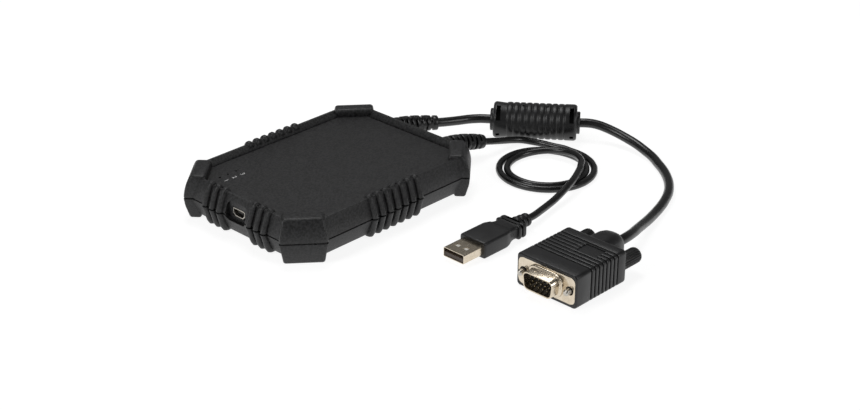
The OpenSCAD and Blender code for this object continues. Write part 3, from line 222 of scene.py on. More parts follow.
# Sintered ferrite: dull grey black with fine pores.
sintered_ferrite, t, place = begin("sintered_ferrite")
pores = add(t, "ShaderNodeTexVoronoi", {"Vector": place,
                                        "Scale": per_mm(0.5)}).outputs["Distance"]
shade = add(t, "ShaderNodeMix", {"Factor": pores, 6: colour("#201f20"), 7: colour("#3b393a")},
            data_type="RGBA").outputs[2]
dull = add(t, "ShaderNodeMapRange", {"Value": pores, "To Min": 0.6, "To Max": 0.8}).outputs[0]
close(t, add(t, "ShaderNodeBsdfPrincipled", {"Base Color": shade, "Roughness": dull,
                                             "IOR": 1.8}))

# Fired ceramic of the small board pieces: tan and slightly glossy.
fired_ceramic = blended("fired_ceramic", 0.7, ("#74593c", "#a08260"), (0.3, 0.45), {"IOR": 1.6})

# Zinc plate on the screws and the port's steel shell: pale warm grey metal with a soft bloom.
zinc_plate = blended("zinc_plate", 0.6, ("#a8a49c", "#d0cbc2"), (0.25, 0.42), METAL)

# Blackened steel screws: dark metal with a soft shine.
blackened_steel = blended("blackened_steel", 0.5, ("#1c1c1e", "#3a3a3e"), (0.3, 0.48), METAL)

# Cast clear epoxy of the lamps: pale and glossy.
lamp_epoxy = blended("lamp_epoxy", 0.4, ("#cfd1c0", "#eef0e2"), (0.15, 0.3), {"IOR": 1.5})

# Pad-printed white ink of the lamp numbers: flat, and a little thin in places.
printed_ink = blended("printed_ink", 0.5, ("#c9c9c9", "#f6f6f6"), (0.5, 0.7), {"IOR": 1.5})


# ---------------------------------------------------------------- mesh helpers
def new_mesh():
    return bmesh.new()


def loft(bm, rings):
    """Extrudes a ring of vertices through the given rings and closes both ends.

    Returns each ring's edges.
    """
    verts = [bm.verts.new(q) for q in rings[0]]
    n = len(verts)
    edges = [bm.edges.new((verts[i], verts[(i + 1) % n])) for i in range(n)]
    loops = [edges]
    bm.faces.new(verts)
    for ring in rings[1:]:
        grown = bmesh.ops.extrude_edge_only(bm, edges=edges)["geom"]
        fresh = {g for g in grown if isinstance(g, bmesh.types.BMVert)}
        verts = [next(e.other_vert(v) for e in v.link_edges if e.other_vert(v) in fresh)
                 for v in verts]
        for v, q in zip(verts, ring):
            v.co = q
        edges = [bm.edges.get((verts[i], verts[(i + 1) % n])) for i in range(n)]
        loops.append(edges)
    bm.faces.new(verts)
    return loops


def soften(bm, edges, width, segments=3):
    """Rounds edges by a width."""
    alive = [e for e in edges if e.is_valid]
    bmesh.ops.bevel(bm, geom=alive, offset=width, offset_type="OFFSET", affect="EDGES",
                    segments=segments, profile=0.5, material=-1, clamp_overlap=True)


def block(low, high):
    """Mesh of a box between two corners."""
    bm = new_mesh()
    for v in bmesh.ops.create_cube(bm, size=1)["verts"]:
        for i in range(3):
            v.co[i] = low[i] if v.co[i] < 0 else high[i]
    return bm


def round_rect(w, h, r, steps=4):
    """Outline of a rounded rectangle, counter-clockwise, as (across, up)."""
    points = []
    for k, (sx, sy) in enumerate(((1, 1), (-1, 1), (-1, -1), (1, -1))):
        for i in range(steps + 1):
            a = pi / 2 * (k + i / steps)
            points.append((sx * (w / 2 - r) + r * cos(a), sy * (h / 2 - r) + r * sin(a)))
    return points


def d_outline(w, h, r, steps=5):
    """Outline of a D collar: wider at the top, with its sides leaning in below."""
    corners = [Vector((-w / 2 + w * 0.06, -h / 2)), Vector((w / 2 - w * 0.06, -h / 2)),
               Vector((w / 2, h / 2)), Vector((-w / 2, h / 2))]
    points = []
    for i, c in enumerate(corners):
        u, v = (corners[i - 1] - c).normalized(), (corners[(i + 1) % 4] - c).normalized()
        half = acos(u.dot(v)) / 2
        centre = c + (u + v).normalized() * r / sin(half)
        a = c + u * r / tan(half) - centre
        b = c + v * r / tan(half) - centre
        start = atan2(a.y, a.x)
        sweep = (atan2(b.y, b.x) - start + 3 * pi) % (2 * pi) - pi
        for k in range(steps + 1):
            angle = start + sweep * k / steps
            points.append((centre.x + r * cos(angle), centre.y + r * sin(angle)))
    return points


def across_x(x, outline):
    """Ring at x from an outline of (across, up), as points of (x, y, z)."""
    return [(x, a, b) for a, b in outline]


def turned_x(bm, outline, steps=48, caps=True):
    """Spins an outline of (x, radius) about the X axis into a closed skin."""
    verts = [bm.verts.new((x, 0, r)) for x, r in outline]
    edges = [bm.edges.new(pair) for pair in zip(verts, verts[1:])]
    bmesh.ops.spin(bm, geom=verts + edges, cent=(0, 0, 0), axis=(1, 0, 0), angle=2 * pi,
                   steps=steps, use_merge=True)
    bmesh.ops.remove_doubles(bm, verts=bm.verts, dist=0.0005)
    if caps:
        bmesh.ops.holes_fill(bm, edges=[e for e in bm.edges if e.is_boundary])


def finish(bm, name, material, body=ADAPTER, replaces=(), at=Matrix(), smooth=35,
           fix=True):
    """Turns millimetres to metres, makes the object, and gives it its body and material."""
    if fix:
        bmesh.ops.remove_doubles(bm, verts=bm.verts, dist=0.0002)
        bmesh.ops.recalc_face_normals(bm, faces=bm.faces)
    bm.transform(Matrix.Scale(MM, 4) @ at)
    if at.to_3x3().determinant() < 0:
        bmesh.ops.reverse_faces(bm, faces=bm.faces)
    mesh = bpy.data.meshes.new(name)
    bm.to_mesh(mesh)
    bm.free()
    mesh.shade_smooth()
    mesh.set_sharp_from_angle(angle=radians(smooth))
    mesh.materials.append(material)
    piece = bpy.data.objects.new(name, mesh)
    bpy.context.collection.objects.link(piece)
    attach(piece, body)
    if replaces:
        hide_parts(*replaces)
    return piece


def cut(bm, cutter, how="DIFFERENCE"):
    """Boolean of one closed mesh with another. Both are in millimetres and are used up."""
    pair = []
    for source in (bm, cutter):
        bmesh.ops.recalc_face_normals(source, faces=source.faces)
        mesh = bpy.data.meshes.new("working")
        source.to_mesh(mesh)
        source.free()
        holder = bpy.data.objects.new("working", mesh)
        bpy.context.collection.objects.link(holder)
        pair.append(holder)
    change = pair[0].modifiers.new("cut", "BOOLEAN")
    change.operation, change.solver, change.object = how, "EXACT", pair[1]
    graph = bpy.context.evaluated_depsgraph_get()
    out = bmesh.new()
    out.from_mesh(pair[0].evaluated_get(graph).to_mesh())
    for holder in pair:
        mesh = holder.data
        bpy.data.objects.remove(holder)
        bpy.data.meshes.remove(mesh)
    return out


def join(bm, other):
    """Adds another mesh to this one as separate shells."""
    mesh = bpy.data.meshes.new("working")
    other.to_mesh(mesh)
    other.free()
    bm.from_mesh(mesh)
    bpy.data.meshes.remove(mesh)


def copies(bm, source, matrices):
    """Adds a copy of a mesh for each matrix, turned right side out where it is mirrored."""
    for m in matrices:
        one = source.copy()
        one.transform(m)
        if m.to_3x3().determinant() < 0:
            bmesh.ops.reverse_faces(one, faces=one.faces)
        join(bm, one)
    source.free()


# ---------------------------------------------------------------- sizes that pieces share
# Heights in the case: the parting face, the rim, the panel, the inside's top and bottom, and the
# underside between the feet. The half length and half width are those at the parting face.
PART_Z, RIM_Z, PANEL_Z, ROOF_Z, FLOOR_Z, FOOT_Z = 10.7, 20, 17.7, 15.7, 3.8, 1.8
END_HALF, SIDE_HALF = 58.4, 44
VIDEO_D, USB_D = 4.6, 3.4
VIDEO_EXIT_Y, USB_EXIT_Y = 19.4, -14
FERRITE_LEN, FERRITE_CAP = 41.6, 1.6
HOOD_LEN, HUMP_LEN = 33, 14.5
USB_SHELL_LEN, USB_GRIP_LEN, USB_TAIL_LEN = 12, 27.4, 9.4

# ---------------------------------------------------------------- cords
FERRITE_MID = Vector((118.8, -22.9, 9.1))
FERRITE_YAW = radians(-52)
FERRITE_HALF = FERRITE_LEN / 2 + FERRITE_CAP
FERRITE_AXIS = Vector((cos(FERRITE_YAW), sin(FERRITE_YAW), 0))
VIDEO_BOOT = [Vector(q) for q in ((60, VIDEO_EXIT_Y, PART_Z), (68, VIDEO_EXIT_Y, PART_Z),
                                  (75.5, 14.2, 10.2), (82, 9.8, 9.8))]
USB_BOOT = [Vector(q) for q in ((60, USB_EXIT_Y, PART_Z), (70, USB_EXIT_Y, PART_Z),
                                (77.5, -16.2, 9.1), (84.9, -18.6, 7.5))]
USB_PLUG = Vector((-6.3, -84.2, 3.9))
VGA_PLUG = Vector((-0.7, -131.8, 7.8))
IN_NECK = Vector((2, 0, 0))
# The coil's turns, knots in a turn, place, first angle, first radius and radius lost in a turn,
# and its climb over the turns at the end
COIL_TURNS, COIL_KNOTS = 2.2, 24
COIL_MID = (91.8, -52.4)
COIL_START, COIL_R, COIL_PITCH = 10, 24.5, 3.9
CLIMB_TURNS, CLIMB, CLIMB_OUT = 0.5, 3.9, 1.6

ferrite_in = FERRITE_MID - FERRITE_HALF * FERRITE_AXIS
ferrite_out = FERRITE_MID + FERRITE_HALF * FERRITE_AXIS
video_lead = [(85.3, 8, 9.6), (89.2, 6.1, 9.4), (93.2, 4.3, 9.2), (96.7, 2.7, 9.1),
              (99.8, 0.5, 9.1)]
video_run = [(137.7, -47.9, 8.6), (139.4, -52.3, 7.6), (140.6, -57.4, 6.4), (141.1, -63, 5.2),
             (140.8, -69.6, 4.1), (139.4, -76.2, 3.1), (137, -82.8, 2.5), (133.4, -88.8, 2.3),
             (129.4, -94.8, 2.3), (124.6, -100.7, 2.3), (118.7, -106.4, 2.3), (111.7, -111.4, 2.3),
             (103.9, -115.3, 2.3), (95.9, -118.4, 2.4), (88.1, -120.9, 2.7), (80.1, -123.5, 3.5),
             (72.7, -125.8, 4.6), (65.8, -128.1, 5.8), (59.2, -130.3, 6.9)]
usb_lead = [(91.2, -20, 6.1), (97.2, -20.8, 4.7), (103, -22, 3.5), (107.4, -24.1, 2.7),
            (110.7, -28, 2), (113, -32.9, 1.7), (114.2, -38.4, 1.7)]
usb_tail = [(93, -71.9, 5.6), (88.6, -74, 5.6), (84.1, -75.9, 5.6), (79.5, -77.4, 5.5),
            (74.8, -78.6, 5), (70, -79.6, 4.3), (65, -80.6, 3.8), (60, -81.5, 3.6),
            (54.8, -82.6, 3.7)]


def bend(guides, u):
    """Point of a boot's centre line."""
    return ((1 - u) ** 3 * guides[0] + 3 * u * (1 - u) ** 2 * guides[1]
            + 3 * u * u * (1 - u) * guides[2] + u ** 3 * guides[3])


def bend_heading(guides, u):
    return ((1 - u) ** 2 * (guides[1] - guides[0]) + 2 * u * (1 - u) * (guides[2] - guides[1])
            + u * u * (guides[3] - guides[2])).normalized()


def coil_point(turn):
    """Point of the USB cord's coil: a flat spiral inwards, whose end climbs over the turns."""
    angle = radians(COIL_START - 360 * turn)
    rise = min(max((turn - COIL_TURNS + CLIMB_TURNS) / CLIMB_TURNS, 0), 1)
    climbed = rise * rise * (3 - 2 * rise)
    r = COIL_R - COIL_PITCH * turn + CLIMB_OUT * climbed ** 2
    return Vector((COIL_MID[0] + r * cos(angle), COIL_MID[1] + r * sin(angle),
                   USB_D / 2 + CLIMB * climbed))


def cord_curve(name, points, diameter):
    """Smooth round cord through points in millimetres, and its length in metres."""
    data = bpy.data.curves.new(name, "CURVE")
    data.dimensions = "3D"
    data.bevel_depth = diameter / 2 * MM
    data.bevel_resolution = 6
    data.resolution_u = 6
    data.use_fill_caps = True
    spline = data.splines.new("BEZIER")
    spline.bezier_points.add(len(points) - 1)
    for knot, q in zip(spline.bezier_points, points):
        knot.co = Vector(q) * MM
        knot.handle_left_type = knot.handle_right_type = "AUTO"
    piece = bpy.data.objects.new(name, data)
    bpy.context.collection.objects.link(piece)
    data.materials.append(cord_pvc)
    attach(piece, ADAPTER)
    return piece, spline.calc_length()


vga_neck = VGA_PLUG + Vector((HOOD_LEN + HUMP_LEN, 0, 0))
usb_neck = USB_PLUG + Vector((USB_SHELL_LEN + USB_GRIP_LEN + USB_TAIL_LEN, 0, 0))
video_points = ([VIDEO_BOOT[3] - 2 * bend_heading(VIDEO_BOOT, 1), VIDEO_BOOT[3]] + video_lead
                + [ferrite_in - VIDEO_D * FERRITE_AXIS, ferrite_in, FERRITE_MID, ferrite_out,
                   ferrite_out + VIDEO_D * FERRITE_AXIS] + video_run
                + [vga_neck + Vector((VIDEO_D, 0, 0)), vga_neck, vga_neck - IN_NECK])
video_cord, video_length = cord_curve("video_cord", video_points, VIDEO_D)
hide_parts("video_cord_lead", "video_cord_in_ferrite", "video_cord_run")

coil_rings = ceil(COIL_TURNS * COIL_KNOTS)
coil = [coil_point(COIL_TURNS * i / coil_rings) for i in range(coil_rings + 1)]
coil_in = (coil[1] - coil[0]).normalized()
coil_out = (coil[-1] - coil[-2]).normalized()
usb_points = ([USB_BOOT[3] - 2 * bend_heading(USB_BOOT, 1), USB_BOOT[3]] + usb_lead
              + [coil[0] - USB_D * coil_in] + coil + [coil[-1] + USB_D * coil_out] + usb_tail
              + [usb_neck + Vector((USB_D, 0, 0)), usb_neck, usb_neck - IN_NECK])
usb_cord, usb_length = cord_curve("usb_cord", usb_points, USB_D)
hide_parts("usb_cord_lead", "usb_cord_coil", "usb_cord_tail")

# ---------------------------------------------------------------- housing
# Half sizes along x, along y and across the corners, at the parting face, the rim and below
HALVES_MID = Vector((END_HALF, SIDE_HALF, 61.7))
HALVES_RIM = Vector((54.8, 41.1, 58.45))
HALVES_UNDER = Vector((55.1, 40.7, 58.4))
CORNER, GUARD_SHIFT = radians(49), 14
GROOVE, GROOVE_D = 0.35, 0.7
WALL = 2.2
PORT_Z, MINI_USB_Z = 12.9, 12.45
LAMP_X, LAMP_PITCH, LAMP_Y, NUMBER_Y = -44.5, 4.85, 26, 21.5
CASE_SCREWS = [(x, y) for x in (-48.5, 48.5) for y in (-31.5, 31.5)]
RIB_PITCH, RIB_W, SIDE_RIBS, END_RIBS, END_RIB_Y = 4.8, 3.3, 7, 3, 10.2
RIB_BASE, RIB_SINK = 0.2, 1.1
SIDE_LEAN, END_LEAN, UNDER_LEAN = 2.9, 3.6, 3.3


def octagon(halves, z):
    """The eight corners of the housing's outline, counter-clockwise."""
    hx, hy, n = halves
    y = (n - hx * cos(CORNER)) / sin(CORNER)
    x = (n - hy * sin(CORNER)) / cos(CORNER)
    return [(hx, -y, z), (hx, y, z), (x, hy, z), (-x, hy, z), (-hx, y, z), (-hx, -y, z),
            (-x, -hy, z), (x, -hy, z)]


def wall_at(z):
    """Half sizes of the outer wall at a height."""
    if z >= PART_Z:
        return HALVES_MID.lerp(HALVES_RIM, (z - PART_Z) / (RIM_Z - PART_Z))
    return HALVES_MID.lerp(HALVES_UNDER, (PART_Z - z) / (PART_Z - FOOT_Z))


def prism_x(outline, x0, x1):
    """Closed solid between two rings across X."""
    bm = new_mesh()
    loft(bm, [across_x(x0, outline), across_x(x1, outline)])
    return bm


def post(x, y, z0, z1, r, steps=32):
    """Upright closed cylinder."""
    bm = new_mesh()
    ring = [(x + r * cos(2 * pi * k / steps), y + r * sin(2 * pi * k / steps))
            for k in range(steps)]
    loft(bm, [[(a, b, z0) for a, b in ring], [(a, b, z1) for a, b in ring]])
    return bm


def open_port(bm, z0, z1):
    """Backs the port recess with a plate and a collar, then cuts the recess and the cord exits."""
    for low, high in (((-55.5, -8.9, z0), (-53.3, 8.9, z1)),
                      ((-57.4, -8.9, max(z0, 8)), (-53.4, 8.9, min(z1, 12.5)))):
        bm = cut(bm, block(low, high), "UNION")
    for centre_z, size, x0, x1 in ((PORT_Z, (13.4, 9, 2.7, 6), -62, -55.5),
                                   (MINI_USB_Z, (8.3, 4.5, 0.6), -56, -53)):
        bm = cut(bm, prism_x([(a, b + centre_z) for a, b in round_rect(*size)], x0, x1))
    for y in (VIDEO_EXIT_Y, USB_EXIT_Y):
        hole = prism_x([(a + y, b + PART_Z) for a, b in round_rect(8.3, 8.3, 4.14, 10)], 54, 62)
        bm = cut(bm, hole)
    return bm


def guard_matrices():
    """Places one corner guard at each of the four corners."""
    turn = Matrix.Rotation(CORNER, 4, "Z") @ Matrix.Translation((0, -GUARD_SHIFT, 0))
    return [Matrix.Diagonal((sx, sy, 1, 1)) @ turn for sx in (1, -1) for sy in (1, -1)]


def guard(section, widths, z_part, rounding, inner):
    """Guard from a section of (out, z), with the half width at each point of the section.

    Edges further in than inner stay sharp, and so do those on the parting face.
    """
    bm = new_mesh()
    loft(bm, [[(n, side * w, z) for (n, z), w in zip(section, widths)] for side in (-1, 1)])
    bmesh.ops.recalc_face_normals(bm, faces=bm.faces)
    on_part = {v for v in bm.verts if abs(v.co.z - z_part) < 0.01}
    edges = [e for e in bm.edges if not (e.verts[0] in on_part and e.verts[1] in on_part)
             and max(v.co.x for v in e.verts) > inner]
    soften(bm, edges, rounding, 4)
    rim = [e for e in bm.edges if all(abs(v.co.z - z_part) < 0.01 for v in e.verts)]
    soften(bm, rim, 0.18, 2)
    return bm


def rib(path):
    """Half-round rib through rings of (out, z, out direction, up direction, height)."""
    bm = new_mesh()
    arc = [(RIB_W / 2 * cos(pi * k / 8), sin(pi * k / 8) ** 0.7) for k in range(9)]
    rings = []
    for out, z, dx, dz, height in path:
        o = Vector((dx, dz)).normalized()
        ring = [(x, out + o.x * (height + RIB_BASE) * s - RIB_BASE * o.x,
                 z + o.y * (height + RIB_BASE) * s - RIB_BASE * o.y) for x, s in arc]
        ring += [(x, out - RIB_SINK * o.x, z - RIB_SINK * o.y) for x in (-RIB_W / 2, RIB_W / 2)]
        rings.append(ring)
    loops = loft(bm, rings)
    soften(bm, loops[0][:8], 0.16, 2)
    return bm


def upper_path(half, lean):
    """Up the leaning wall, over the rim and down to the panel."""
    top = half - lean
    at = lambda z: half - lean * (z - PART_Z) / (RIM_Z - PART_Z)
    return [(at(PART_Z + GROOVE), PART_Z + GROOVE, 1, 0, 1.7), (at(14), 14, 1, 0.05, 1.75),
            (at(17.5), 17.5, 1, 0.1, 1.6), (at(19.2), 19.2, 1, 0.3, 1.55),
            (top - 0.1, 19.75, 1, 0.75, 1.5), (top - 0.55, 20, 0.5, 1, 1.45),
            (top - 1.2, 20, 0, 1, 1.35), (top - 1.9, 19.6, -0.4, 1, 1.15),
            (top - 2.4, 19, -0.6, 1, 0.75), (top - 2.7, 18.5, -0.7, 1, 0.2)]


def lower_path(half):
    """Down the leaning wall and round under the case."""
    foot = half - UNDER_LEAN
    at = lambda z: half - UNDER_LEAN * (PART_Z - z) / (PART_Z - FOOT_Z)
    return [(at(PART_Z - GROOVE), PART_Z - GROOVE, 1, 0, 1.7), (at(8), 8, 1, -0.05, 1.9),
            (at(5.3), 5.3, 1, -0.2, 2.1), (at(3.4), 3.4, 1, -0.45, 2.1),
            (foot + 0.1, 2.2, 0.9, -0.9, 1.85), (foot - 0.5, 1.9, 0.4, -1, 1.6),
            (foot - 1.3, 1.8, 0, -1, 1.45), (foot - 3, 1.8, 0, -1, 1.0),
            (foot - 4.6, 1.8, 0, -1, 0.35)]


def rib_matrices():
    """Places the ribs of the two long sides, and those beside the port and the cord exits."""
    side = [Matrix.Rotation(turn, 4, "Z") @ Matrix.Translation((RIB_PITCH * (i - 3), 0, 0))
            for turn in (0, pi) for i in range(SIDE_RIBS)]
    end = [Matrix.Rotation(pi / 2, 4, "Z")
           @ Matrix.Translation((s * (END_RIB_Y + RIB_PITCH * i), 0, 0))
           for s in (1, -1) for i in range(END_RIBS)]
    return side, end


def inset_ring(z, d, at_z=None):
    """Outline at a depth inside the outer wall."""
    return octagon(wall_at(z) - d * Vector((1, 1, 1)), z if at_z is None else at_z)


def rim_ring(inset, corner, z):
    """Outline inside the rim, by one inset from the sides and another from the corners."""
    return octagon(HALVES_RIM - Vector((inset, inset, corner)), z)


guard_places = guard_matrices()
side_places, end_places = rib_matrices()

# Upper cover: roof, inner wall, parting face, groove, outer wall, rim, and the panel in its gutter
z_part = PART_Z + GROOVE
top = new_mesh()
loops = loft(top, [inset_ring(ROOF_Z, WALL), inset_ring(PART_Z, WALL),
                   inset_ring(PART_Z, GROOVE_D), inset_ring(PART_Z, GROOVE_D, z_part),
                   octagon(wall_at(z_part), z_part),
                   octagon(wall_at(RIM_Z), RIM_Z), rim_ring(1.6, 0.2, RIM_Z),
                   rim_ring(3.1, 1.2, PANEL_Z + 0.2), rim_ring(3.2, 1.3, PANEL_Z - 1.3),
                   rim_ring(4.4, 2.2, PANEL_Z - 1.3), rim_ring(4.55, 2.3, PANEL_Z)])
soften(top, loops[5], 0.85, 4)
soften(top, loops[6], 0.45, 3)
soften(top, loops[10], 0.2, 2)
soften(top, loops[4], 0.2, 2)
top = open_port(top, PART_Z, ROOF_Z + 0.5)
for i in range(3):
    top = cut(top, post(LAMP_X + LAMP_PITCH * i, LAMP_Y, ROOF_Z - 1, PANEL_Z + 1, 0.65, 24))
section = [(64.6, z_part), (64.2, 14), (63.2, 17.5), (61.3, 21.3), (54.3, 21.3), (54.1, 17.3),
           (57.6, z_part)]
widths = [10.8, 10.4, 9.9, 9.25, 9.25, 9.8, 10.8]
copies(top, guard(section, widths, z_part, 1.3, 54.2), guard_places)
copies(top, rib(upper_path(SIDE_HALF, SIDE_LEAN)), side_places)
copies(top, rib(upper_path(END_HALF, END_LEAN)), end_places)
finish(top, "upper_housing", moulded_abs, replaces=("top_cover",), fix=False)

# Lower cover: floor, inner wall, parting face, groove, outer wall and underside
z_part = PART_Z - GROOVE
low = new_mesh()
loops = loft(low, [inset_ring(FLOOR_Z, WALL), inset_ring(PART_Z, WALL),
                   inset_ring(PART_Z, GROOVE_D), inset_ring(PART_Z, GROOVE_D, z_part),
                   octagon(wall_at(z_part), z_part), octagon(HALVES_UNDER, FOOT_Z)])
soften(low, loops[5], 1.0, 4)
soften(low, loops[4], 0.2, 2)
low = open_port(low, FLOOR_Z - 0.5, PART_Z)
for x, y in CASE_SCREWS:
    low = cut(low, post(x, y, FOOT_Z - 1, FOOT_Z + 2.4, 3))
section = [(64.6, z_part), (64.2, 6.5), (62.4, 0), (57.2, 0), (56.9, 2.5), (57.4, z_part)]
widths = [10.8, 10.3, 9.0, 9.0, 9.4, 10.8]
copies(low, guard(section, widths, z_part, 1.1, 57.1), guard_places)
# Cores that close the groove behind the guards and the ribs
core_z = (z_part - 0.3, PART_Z + GROOVE + 0.3)
copies(low, block((57, -10.1, core_z[0]), (64, 10.1, core_z[1])), guard_places)
copies(low, rib(lower_path(SIDE_HALF)), side_places)
copies(low, rib(lower_path(END_HALF)), end_places)
for half, places in ((SIDE_HALF, side_places), (END_HALF, end_places)):
    copies(low, block((-0.8, half - 1, core_z[0]), (0.8, half + 0.7, core_z[1])), places)
finish(low, "lower_housing", moulded_abs, replaces=("bottom_cover",), fix=False)

# Plain numbers beside the three lamps
for i in range(3):
    text = bpy.data.curves.new("lamp_number", "FONT")
    text.body = str(i + 1)
    text.size = 3.3
    text.align_x, text.align_y = "CENTER", "CENTER"
    text.extrude = 0.01
    holder = bpy.data.objects.new("lamp_number", text)
    bpy.context.collection.objects.link(holder)
    bm = new_mesh()
    bm.from_mesh(holder.evaluated_get(bpy.context.evaluated_depsgraph_get()).to_mesh())
    bpy.data.objects.remove(holder)
    bpy.data.curves.remove(text)
    at_lamp = (Matrix.Translation((LAMP_X + LAMP_PITCH * i, NUMBER_Y, PANEL_Z + 0.012))
               @ Matrix.Rotation(-pi / 2, 4, "Z"))
    finish(bm, f"lamp_number_{i + 1}", printed_ink, at=at_lamp)

# ---------------------------------------------------------------- strain reliefs at the housing
# Rings of a boot, the share of the pitch that a ring takes, the boot's radius at its ends, the
# depth of its core below that, and a bar's section as (depth, across)
BOOT_RIBS, RING_SHARE = 9, 0.63
BOOT_R = (4.9, 3.6)
CORE_DEPTH = 1.8
BAR_SECTION = ((1.4, -1.5), (0.25, -1.5), (0.05, 0), (0.25, 1.5), (1.4, 1.5))


def across_boot(guides, u):
    """Centre of a boot at u, with its heading and the directions to the side and up."""
    heading = bend_heading(guides, u)
    side = heading.cross(Vector((0, 0, 1))).normalized()
    return bend(guides, u), heading, side, side.cross(heading)


def sleeve_ring(guides, u, r, steps=32):
    middle, _, side, up = across_boot(guides, u)
    return [middle + r * (cos(2 * pi * k / steps) * side - sin(2 * pi * k / steps) * up)
            for k in range(steps)]


def boot_bar(guides, turn, stations, radius):
    """Short bar between two rings, at one place round the boot."""
    rings = []
    for u in stations:
        middle, heading, side, up = across_boot(guides, u)
        out = cos(turn) * side + sin(turn) * up
        along = heading.cross(out)
        rings.append([middle + out * (radius(u) - d) + along * w for d, w in BAR_SECTION])
    bar = new_mesh()
    loft(bar, rings)
    return bar


def strain_relief(name, guides, cord_d, exit_y, replaces):
    """Rings on a slim core, joined by bars that alternate between the sides and above and below."""
    bm = new_mesh()
    radius = lambda u: BOOT_R[0] + (BOOT_R[1] - BOOT_R[0]) * u
    loft(bm, [sleeve_ring(guides, u / 20, max(radius(u / 20) - CORE_DEPTH, cord_d / 2 + 0.1))
              for u in range(21)])
    pitch = 1 / BOOT_RIBS
    for i in range(BOOT_RIBS):
        last = i == BOOT_RIBS - 1
        u0 = i * pitch
        u1 = 1 if last else u0 + pitch * RING_SHARE
        r0 = radius(u0)
        r1 = (3.3 + cord_d / 2 + 1) / 2 + 0.35 if last else radius(u1)
        edge, lip = 0.12 * pitch, 0.01 * pitch
        ring = new_mesh()
        loft(ring, [sleeve_ring(guides, u0, r0 - 1.3), sleeve_ring(guides, u0 + lip, r0 - 0.22),
                    sleeve_ring(guides, u0 + edge, r0), sleeve_ring(guides, u1 - edge, r1),
                    sleeve_ring(guides, u1 - lip, r1 - 0.22),
                    sleeve_ring(guides, u1, cord_d / 2 + 0.05 if last else r1 - 1.3)])
        join(bm, ring)
        if not last:
            stations = (u1 - 0.1 * pitch, (u1 + u0 + pitch) / 2, u0 + 1.1 * pitch)
            for turn in ((0, pi) if i % 2 else (pi / 2, 3 * pi / 2)):
                join(bm, boot_bar(guides, turn, stations, radius))
    neck = new_mesh()
    turned_x(neck, [(54.7, cord_d / 2 + 0.1), (54.7, 5.2), (56.2, 5.2), (56.2, 4), (60.6, 4),
                    (60.6, 2)])
    neck.transform(Matrix.Translation((0, exit_y, PART_Z)))
    join(bm, neck)
    finish(bm, name, boot_pvc, replaces=replaces, smooth=40)


strain_relief("video_strain_relief", VIDEO_BOOT, VIDEO_D, VIDEO_EXIT_Y, ("video_boot",))
strain_relief("usb_strain_relief", USB_BOOT, USB_D, USB_EXIT_Y, ("usb_boot",))

# ---------------------------------------------------------------- ferrite
RINGS = 9
ring_pitch = (FERRITE_LEN - 4 * FERRITE_CAP) / (RINGS + 2)
outline = [(-22.4, 2.4), (-22.4, 5.3), (-22.1, 5.6), (-20.8, 5.6), (-20.8, 8.1), (-20.5, 8.6),
           (-19.9, 9.0), (-19.3, 9.1)]
for i in range(RINGS):
    x = (i - (RINGS - 1) / 2) * ring_pitch
    outline += [(x + share * ring_pitch, r) for share, r in (
        (-0.47, 8.62), (-0.4, 8.62), (-0.3, 8.95), (-0.12, 9.08), (0.2, 9.1), (0.4, 9.0))]
end_x = RINGS / 2 * ring_pitch
outline += [(end_x + 0.15, 8.72), (end_x + 0.5, 9.0), (end_x + 0.9, 9.1), (19.3, 9.1), (19.9, 9.0),
            (20.5, 8.6), (20.8, 8.1), (20.8, 5.6), (22.1, 5.6), (22.4, 5.3), (22.4, 2.4)]
cover = new_mesh()
turned_x(cover, outline, 72)
# The catches' openings, the squares below them and the pin holes: degrees round the sleeve, x,
# half widths along and across, and the radius of the floor
OPENINGS = ((43, 18.2, 1.05, 4.1, 3.2), (124, 18.4, 0.9, 1.0, 4.5), (14, 6, 0.55, 0.55, 7.6))
for turn in (0, 180):
    for end in (-1, 1):
        for lean, x, along, across, depth in OPENINGS:
            slot = block((end * x - along, -across, depth), (end * x + along, across, 10))
            slot.transform(Matrix.Rotation(radians(turn + lean), 4, "X"))
            cover = cut(cover, slot)
on_ferrite = Matrix.Translation(FERRITE_MID) @ Matrix.Rotation(FERRITE_YAW, 4, "Z")
finish(cover, "ferrite_sleeve", moulded_pvc, replaces=("ferrite_cover",),
       at=on_ferrite, smooth=50)

# ---------------------------------------------------------------- USB-A plug
at_usb = Matrix.Translation(USB_PLUG)
# Sections of the grip along x: width, height and corner radius
GRIP = [(12, 14.2, 7.0, 0.9), (12.35, 14.8, 7.6, 1.1), (12.9, 15, 7.8, 1.2), (20, 15, 7.8, 1.2),
        (26.2, 15, 7.8, 1.2), (27.2, 14.8, 7.75, 1.2), (28.6, 14.1, 7.6, 1.3),
        (29.8, 13.3, 7.5, 1.4), (30.2, 13, 6.9, 1.4), (31.4, 12.2, 6.7, 1.5),
        (32.8, 11.6, 6.6, 1.6), (34.2, 11.5, 6.5, 1.6), (35.2, 12.1, 6.5, 1.6),
        (35.8, 12.4, 6.5, 1.6), (39.4, 11.4, 6.3, 1.6)]
grip = new_mesh()
loft(grip, [across_x(x, round_rect(w, h, r, 5)) for x, w, h, r in GRIP])
# Two finger flanges and the saddle between them
for x0, x1, width, radius, segments in ((35.2, 36.7, 14.4, 0.45, 3), (37.9, 39.7, 14.4, 0.45, 3),
                                        (35.6, 39.5, 11.2, 0.3, 2)):
    flange = new_mesh()
    ring = loft(flange, [across_x(x, round_rect(width, 6.7, 1.4, 5)) for x in (x0, x1)])
    soften(flange, ring[0] + ring[1], radius, segments)
    join(grip, flange)
